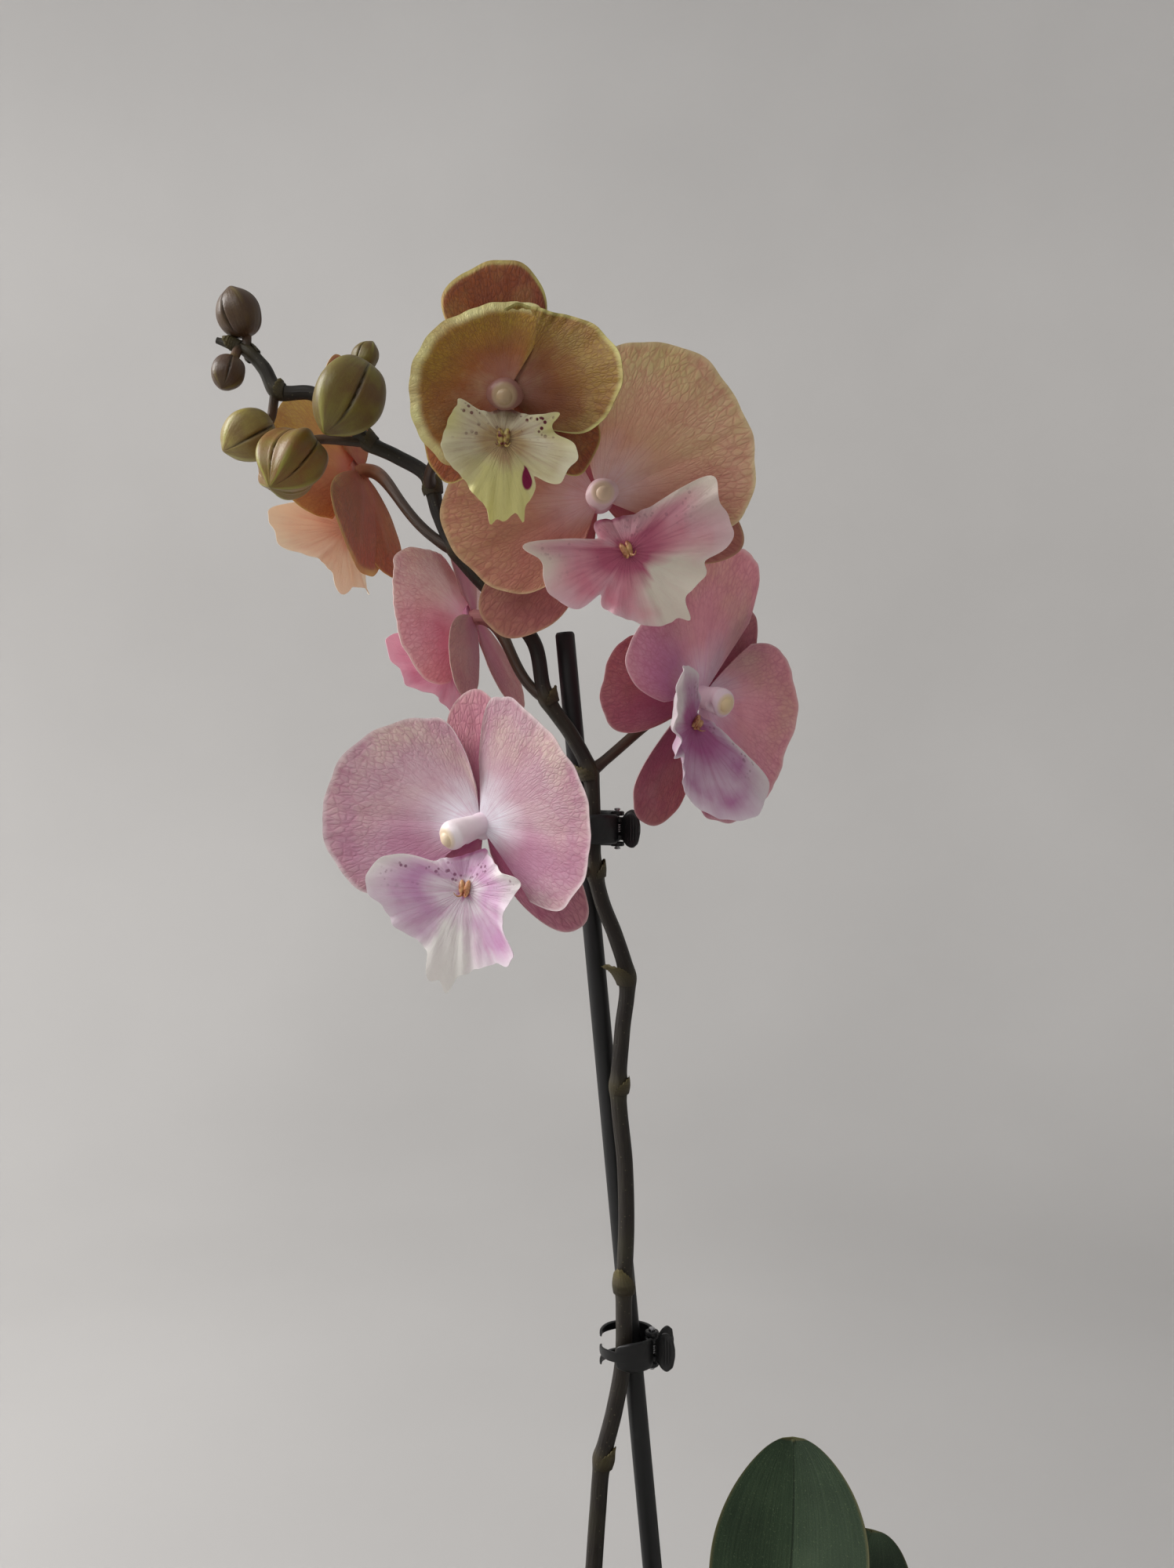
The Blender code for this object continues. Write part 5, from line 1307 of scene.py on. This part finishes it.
def make_pot():
    """The pot: one turned wall with a foot ring and a banded rim."""
    base, rim, top, wall = POT_BASE_RADIUS, POT_RIM_RADIUS, POT_HEIGHT, POT_WALL
    t = np.linspace(0, pi, 13)
    lip_middle, lip_half = rim - wall / 2, wall / 2
    edge = [(lip_middle + lip_half * cos(a), top - lip_half + lip_half * sin(a)) for a in t]
    outer = [
        (0, 1.6), (base - 8.0, 1.6), (base - 6.6, 1.2), (base - 6.0, 0.0), (base - 2.2, 0.0),
        (base - 1.0, 0.5), (base - 0.2, 1.7), (base + 0.4, 4.0), (base + 4.0, 30.0), (base + 8.0, 57.0),
        (rim - 5.2, top - RIM_BAND - 6), (rim - 4.4, top - RIM_BAND - 2.4),
        (rim - 3.6, top - RIM_BAND - 1.2), (rim - 2.0, top - RIM_BAND - 0.4),
        (rim - 0.9, top - RIM_BAND + 0.5), (rim - 0.35, top - RIM_BAND + 2.0), (rim - 0.1, top - 5.5),
    ]  # fmt: skip
    inner = [
        (rim - wall, top - 4.0), (rim - wall - 1.0, top - 9.0), (rim - wall - 3.6, top - RIM_BAND - 4),
        (base - wall + 5, 40.0), (base - wall, POT_FLOOR + 3), (base - wall - 3, POT_FLOOR), (0, POT_FLOOR),
    ]  # fmt: skip
    make("pot_body", turned(outer + edge + inner, 128), POT_GLAZE, stands_for=("pot",), crease=40)


def bark_height(x, y):
    """The lumpy top of the bark at a place."""
    reach = np.hypot(x, y)
    dome = BARK_TOP + BARK_RISE * (1 - (reach / BARK_RADIUS) ** 2)
    return dome + 0.9 * np.sin(x / 5.1 + 1) * np.cos(y / 4.3) + 0.6 * np.sin((x + y) / 2.9)


def make_bark():
    """A mound of fine bark under loose chips, each a bent, jagged block on a 3 x 3 x 2 lattice."""
    radius = np.linspace(1, 0, 40)[:, None] * (BARK_RADIUS - 0.3)
    angle = np.linspace(0, 2 * pi, 121)[None, :]
    x, y = radius * np.cos(angle), radius * np.sin(angle)
    top = np.stack([x, y, bark_height(x, y) - 1.2], -1)
    low = POT_BASE_RADIUS - POT_WALL - 1.5
    side = np.stack([low * np.cos(angle), low * np.sin(angle), 0 * angle + POT_FLOOR + 0.5], -1)
    floor = np.stack([0 * angle, 0 * angle, 0 * angle + POT_FLOOR + 0.5], -1)
    grid = np.concatenate([floor, side, top], axis=0)
    uv = np.stack(np.broadcast_arrays(angle / (2 * pi) * 40, np.linspace(0, 6, len(grid))[:, None]), -1)
    mound = Surface(grid.reshape(-1, 3), quads_of(*grid.shape[:2])[:, ::-1], uv.reshape(-1, 2))
    mound.marks["shade"] = np.full(grid.shape[0] * grid.shape[1], 0.08)
    rng = np.random.default_rng(7)
    count = 430
    reach = (BARK_RADIUS - 7.5) * np.sqrt(rng.uniform(0, 1, count))
    turn = rng.uniform(0, 2 * pi, count)
    px, py = reach * np.cos(turn), reach * np.sin(turn)
    lattice = np.stack(np.meshgrid([-1, 0, 1], [-1, 0, 1], [-1, 1], indexing="ij"), -1)
    lattice = lattice.reshape(-1, 3).astype(float)
    size = np.stack([rng.uniform(3.5, 7.5, count), rng.uniform(2.2, 4.6, count),
                     rng.uniform(0.9, 2.0, count)], -1)
    chip = lattice[None] * (1 - 0.22 * (np.abs(lattice[None, :, :1]) * np.abs(lattice[None, :, 1:2])))
    chip = (chip + rng.uniform(-0.2, 0.2, (count, 18, 3))) * size[:, None]
    yaw, tilt, lean = rng.uniform(0, 2 * pi, count), rng.normal(0, 0.28, count), rng.normal(0, 0.28, count)
    for axis_a, axis_b, turn_by in ((0, 2, tilt), (1, 2, lean), (0, 1, yaw)):
        first, second = chip[..., axis_a].copy(), chip[..., axis_b].copy()
        c, s = np.cos(turn_by)[:, None], np.sin(turn_by)[:, None]
        chip[..., axis_a], chip[..., axis_b] = c * first - s * second, s * first + c * second
    chip[..., 0] += px[:, None]
    chip[..., 1] += py[:, None]
    chip[..., 2] += (bark_height(px, py) + rng.uniform(-1.0, 0.9, count))[:, None]
    index = np.arange(18).reshape(3, 3, 2)
    faces = []
    for i in (0, 1):
        for j in (0, 1):
            faces.append([index[i, j, 1], index[i + 1, j, 1], index[i + 1, j + 1, 1], index[i, j + 1, 1]])
            faces.append([index[i, j, 0], index[i, j + 1, 0], index[i + 1, j + 1, 0], index[i + 1, j, 0]])
        faces.append([index[i, 0, 0], index[i + 1, 0, 0], index[i + 1, 0, 1], index[i, 0, 1]])
        faces.append([index[i, 2, 0], index[i, 2, 1], index[i + 1, 2, 1], index[i + 1, 2, 0]])
        faces.append([index[0, i, 0], index[0, i, 1], index[0, i + 1, 1], index[0, i + 1, 0]])
        faces.append([index[2, i, 0], index[2, i + 1, 0], index[2, i + 1, 1], index[2, i, 1]])
    faces = (np.array(faces)[None] + 18 * np.arange(count)[:, None, None]).reshape(-1, 4)
    chip_uv = np.tile(lattice[:, :2] * 0.12, (count, 1))
    chip_uv = chip_uv + np.repeat(rng.uniform(0, 40, (count, 2)), 18, axis=0)
    chips = Surface(chip.reshape(-1, 3), faces, chip_uv)
    chips.marks["shade"] = np.repeat(rng.beta(2.2, 2.0, count), 18)
    make("bark_mix_chips", mound + chips, BARK_CHIP, stands_for=("bark_mix",), crease=35)


# ---------------------------------------------------------------- stake and clips

def make_stake():
    """A straight rod with a small chamfer at its cut top."""
    low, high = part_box("stake")
    low, high = np.array(low) / MM, np.array(high) / MM
    radius = (high[1] - low[1]) / 2
    middle = (high[1] + low[1]) / 2
    foot, top = np.array([high[0] - radius, middle, low[2]]), np.array([low[0] + radius, middle, high[2]])
    s = np.concatenate([[0, 0.001], np.linspace(0.002, 0.998, 60), [0.9988, 1.0]])
    radii = radius * np.concatenate([[0.3, 0.8], np.ones(60), [0.97, 0.86]])
    line = foot + s[:, None] * (top - foot)
    make("stake_rod", tube_of(line, radii, 40), STAKE_PLASTIC, stands_for=("stake",), crease=30)


def bar_of(path, width, height, tip=0.5):
    """A bar of rounded-square section along a level path. It thins to tip at its far end."""
    path = np.asarray(path, float)
    count = len(path)
    tangent = unit(np.gradient(path, axis=0))
    level = unit(np.cross(tangent, (0, 0, 1.0)))
    angle = np.linspace(0, 2 * pi, 33)
    square = np.maximum(np.abs(np.cos(angle)), np.abs(np.sin(angle)))
    reach = 1 / (0.35 + 0.65 * square)
    s = np.linspace(0, 1, count)
    thin = 1 - (1 - tip) * smooth(s, 0.6, 1.0)
    cap = np.sqrt(np.clip(1 - ((s - 0.5) / 0.5) ** 16, 0, 1))
    a = (reach * np.cos(angle))[None, :] * (0.5 * width * thin * cap)[:, None]
    b = (reach * np.sin(angle))[None, :] * (0.5 * height * thin * cap)[:, None]
    grid = path[:, None] + a[..., None] * level[:, None] + b[..., None] * np.array([0, 0, 1.0])
    uv = np.stack(np.broadcast_arrays(angle[None, :] / (2 * pi), s[:, None]), -1)
    return Surface(grid.reshape(-1, 3), quads_of(count, 33)[:, ::-1], uv.reshape(-1, 2))


def wing_of(hinge, height, heading, length, tall, thick):
    """A finger plate: a rounded plate that stands up from the hinge, dished, with three grip ridges."""
    out = np.array([cos(heading), sin(heading), 0])
    face = np.array([-out[1], out[0], 0])
    up = np.array([0, 0, 1.0])
    rows, columns = 33, 33
    s = np.linspace(0, 1, rows)[:, None]
    t = np.linspace(-1, 1, columns)[None, :]
    profile = through([0, 0.15, 0.45, 0.8, 0.95, 1.0], [0.55, 0.62, 0.98, 0.95, 0.62, 0.28], s[:, 0])[:, None]
    a = 1.0 + (length - 1.0) * s
    b = 0.5 * tall * profile * t
    dish = 0.9 * (s - 0.3) ** 2 - 0.35 * (t * profile) ** 2
    ridges = 0.22 * np.exp(-((((s - 0.78) % 0.12) - 0.06) / 0.022) ** 2) * smooth(s, 0.55, 0.6)
    ridges = ridges * (1 - smooth(np.abs(t), 0.6, 0.8))
    middle = np.array([hinge[0], hinge[1], height])
    grid = middle + a[..., None] * out + (dish + 0 * t)[..., None] * face + b[..., None] * up
    half = 0.5 * thick * (1 - 0.45 * smooth(np.abs(t), 0.75, 1.0)) * (1 - 0.4 * smooth(s, 0.85, 1.0)) + ridges
    uv = np.stack(np.broadcast_arrays(s, t * 0.5 + 0.5), -1)
    return sheet_of(grid, half, uv)


def knuckle_of(hinge, low, high):
    """A short barrel round the pin, with a bore through it."""
    bore, outer = PIN_RADIUS + 0.35, KNUCKLE_RADIUS
    profile = np.array([(bore, low), (outer - 0.3, low), (outer, low + 0.3), (outer, high - 0.3),
                        (outer - 0.3, high), (bore, high), (bore, low)])
    angle = np.linspace(0, 2 * pi, 41)[None, :]
    grid = np.stack([hinge[0] + profile[:, :1] * np.cos(angle), hinge[1] + profile[:, :1] * np.sin(angle),
                     profile[:, 1:] + 0 * angle], -1)
    uv = np.stack(np.broadcast_arrays(angle / (2 * pi), np.linspace(0, 1, 7)[:, None]), -1)
    return Surface(grid.reshape(-1, 3), quads_of(7, 41)[:, ::-1], uv.reshape(-1, 2))


def make_clip(name):
    """A claw clip: two jaws with knuckles, claws and finger plates, a pin with two heads, and a spring."""
    joint = next(j for j in frame["joints"] if j["name"] == name + "_hinge")
    hinge = np.array(joint["pos_m"]) / MM
    height, hinge = hinge[2], hinge[:2]
    line = along(spike_points(), 400)
    stem = line[np.argmin(np.abs(line[:, 2] - height))]
    low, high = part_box("stake")
    low, high = np.array(low) / MM, np.array(high) / MM
    share = (height - low[2]) / (high[2] - low[2])
    stake_x = high[0] - 3.5 + share * (low[0] - high[0] + 7.0)
    grip = np.array([(stem[0] + stake_x) / 2 - 7.5, (stem[1] + 6.8) / 2])
    middle = (hinge + grip) / 2 + np.array([-0.8, 0])
    radius = np.hypot(*(hinge - grip)) / 2 + 1.3
    toward = np.arctan2(*(hinge - middle)[::-1])
    third = CLIP_HEIGHT / 6
    for side, body, part in ((1, PLANT, "fixed_jaw"), (-1, name + "_jaw", "moving_jaw")):
        fingers = [(-5.0, 2.9), (5.0, 2.9)] if side > 0 else [(0.0, 3.6)]
        if side > 0:
            spans = [(-3 * third + 0.2, -2 * third - 0.3), (2 * third + 0.3, 3 * third - 0.2)]
        else:
            spans = [(-2 * third + 0.2, -third), (third, 2 * third - 0.2)]
        turn = toward + side * np.radians(np.linspace(16, 194, 60))
        arc = np.stack([middle[0] + radius * np.cos(turn), middle[1] + radius * np.sin(turn),
                        0 * turn + height], -1)
        jaw = wing_of(hinge, height, toward + side * radians(WING_ANGLE), WING_LENGTH, CLIP_HEIGHT * 0.98,
                      1.5)
        for level, tall in fingers:
            jaw = jaw + bar_of(arc + [0, 0, level], 1.7, tall)
        palm = arc[:34]
        jaw = jaw + bar_of(palm, 1.5, CLIP_HEIGHT - 2.4, tip=0.75)
        for start, end in spans:
            jaw = jaw + knuckle_of(hinge, height + start, height + end)
        make(f"{name}_{part}_moulding", jaw, CLIP_PLASTIC, body=body,
             stands_for=(f"{name}_{part}",), crease=40)
    low, high = height - CLIP_HEIGHT / 2 - 0.9, height + CLIP_HEIGHT / 2 + 0.9
    head = [(0, low), (0.9, low), (1.15, low + 0.25), (1.15, low + 0.6), (PIN_RADIUS, low + 0.75)]
    pin = head + [(PIN_RADIUS, high - 0.75), (1.15, high - 0.6), (1.15, high - 0.25), (0.9, high), (0, high)]
    make(name + "_hinge_pin_rod", turned(pin, 28, (hinge[0], hinge[1], 0)), STEEL,
         stands_for=(name + "_hinge_pin",), crease=40)
    t = np.linspace(0, 1, 120)
    pitch = third - 0.6
    coil = np.stack([hinge[0] + 1.75 * np.cos(8 * pi * t), hinge[1] + 1.75 * np.sin(8 * pi * t),
                     height - pitch + 2 * pitch * t], -1)
    ends = [coil[:1] + [0.3, -1.6, 0], coil, coil[-1:] + [0.3, 1.6, 0]]
    make(name + "_spring_coil", tube_of(np.concatenate(ends), 0.3, 10, up=(0.1, 0.05, 1.0)), STEEL,
         stands_for=(name + "_spring",))


# ---------------------------------------------------------------- stage

def make_stage():
    """A pale round floor that curves up into a wall, soft daylight from the left, and the camera."""
    profile = [(0.0, 0.0), (1.1, 0.0)]
    profile += [(1.1 + 0.9 * sin(a), 0.9 - 0.9 * cos(a)) for a in np.linspace(0.08, pi / 2, 20)]
    profile += [(2.0, 3.2)]
    profile = np.array(profile) * 1000
    floor = turned(profile, 96)
    floor.points[:, 2] -= 0.3
    mesh = bpy.data.meshes.new("floor_sweep")
    mesh.from_pydata((floor.points * MM).tolist(), [], floor.quads[:, ::-1].tolist())
    mesh.shade_smooth()
    sweep = bpy.data.objects.new("floor_sweep", mesh)
    bpy.context.collection.objects.link(sweep)
    paint = Finish("floor_paint", Roughness=0.9)
    mottle = paint.noise(paint.place(), 1.6, 3.0)
    paint.colour(paint.ramp(mottle, [(0.3, tone(186, 184, 182)), (0.7, tone(194, 192, 190))]))
    mesh.materials.append(paint.material)
    world = bpy.data.worlds.new("soft_sky")
    bpy.context.scene.world = world
    world.use_nodes = True
    world.node_tree.nodes["Background"].inputs[0].default_value = (0.93, 0.96, 1.0, 1)
    world.node_tree.nodes["Background"].inputs[1].default_value = 0.36
    lights = (
        ("window", (-1.5, 0.1, 1.4), (-0.2, 0.9, 0.85), 1.2, 37.0, (1.0, 0.99, 0.98)),
        ("fill", (-0.9, -1.3, 1.6), (0.0, 0.0, 0.6), 1.3, 11.0, (1.0, 0.99, 0.98)),
    )
    for name, place, aim, size, power, colour in lights:
        lamp = bpy.data.lights.new(name, "AREA")
        lamp.shape, lamp.size, lamp.energy, lamp.color = "DISK", size, power, colour
        light = bpy.data.objects.new(name, lamp)
        light.location = place
        light.rotation_euler = (Vector(aim) - Vector(place)).to_track_quat("-Z", "Y").to_euler()
        bpy.context.collection.objects.link(light)
    camera = bpy.data.cameras.new("camera")
    camera.sensor_fit, camera.sensor_height, camera.lens = "VERTICAL", 36.0, 32.14
    camera.sensor_width = 36.0
    eye = bpy.data.objects.new("camera", camera)
    eye.location = (-0.0228, -0.5, 0.515)
    eye.rotation_euler = (pi / 2, 0, 0)
    bpy.context.collection.objects.link(eye)
    bpy.context.scene.camera = eye
    bpy.context.scene.view_settings.view_transform = "Standard"


TAN_CALLUS = callus_finish("tan_callus_wax", (150, 84, 60), (200, 142, 98), (226, 186, 128))
OLIVE_CALLUS = callus_finish("olive_callus_wax", (104, 34, 40), (176, 150, 84), (206, 196, 120))
STEM_SKIN, BRACT_SKIN = stem_finish(), bract_finish()
LEAF_SKIN, ROOT_SKIN, BARK_CHIP, POT_GLAZE = leaf_finish(), root_finish(), bark_finish(), pot_finish()
STAKE_PLASTIC = plastic_finish("stake_plastic", 0.38, 700.0)
CLIP_PLASTIC = plastic_finish("clip_plastic", 0.28, 1200.0)
STEEL = steel_finish()
BUD_STALK = stalk_finish("bud_stalk_skin", (52, 44, 32), (104, 88, 48))
OLIVE_BUD = bud_finish("olive_bud_skin", (116, 106, 40), (98, 70, 36), (146, 142, 66))
# Painted light: the next bud skin is a lighter copy of the olive bud skin, for bud_3, which sits in shade.
LIT_OLIVE_BUD = bud_finish("lit_olive_bud_skin", (152, 138, 72), (122, 94, 60), (170, 164, 92))
BROWN_BUD = bud_finish("brown_bud_skin", (84, 64, 38), (66, 42, 32), (104, 88, 48))
OPENING_BUD = bud_finish("opening_bud_skin", (126, 112, 44), (128, 84, 42), (150, 150, 62))

BUD_SKINS = {"bud_1": OPENING_BUD, "bud_2": OLIVE_BUD, "bud_3": LIT_OLIVE_BUD, "bud_4": OLIVE_BUD}

for number, (name, flower) in enumerate(FLOWERS.items()):
    make_flower(name, number, **flower)
for number, (name, bud) in enumerate(BUDS.items()):
    make_bud(name, number, skin=BUD_SKINS.get(name, BROWN_BUD), **bud)
make_spike()
make_leaves()
make_roots()
make_pot()
make_bark()
make_stake()
for name in ("clip_1", "clip_2"):
    make_clip(name)
make_stage()
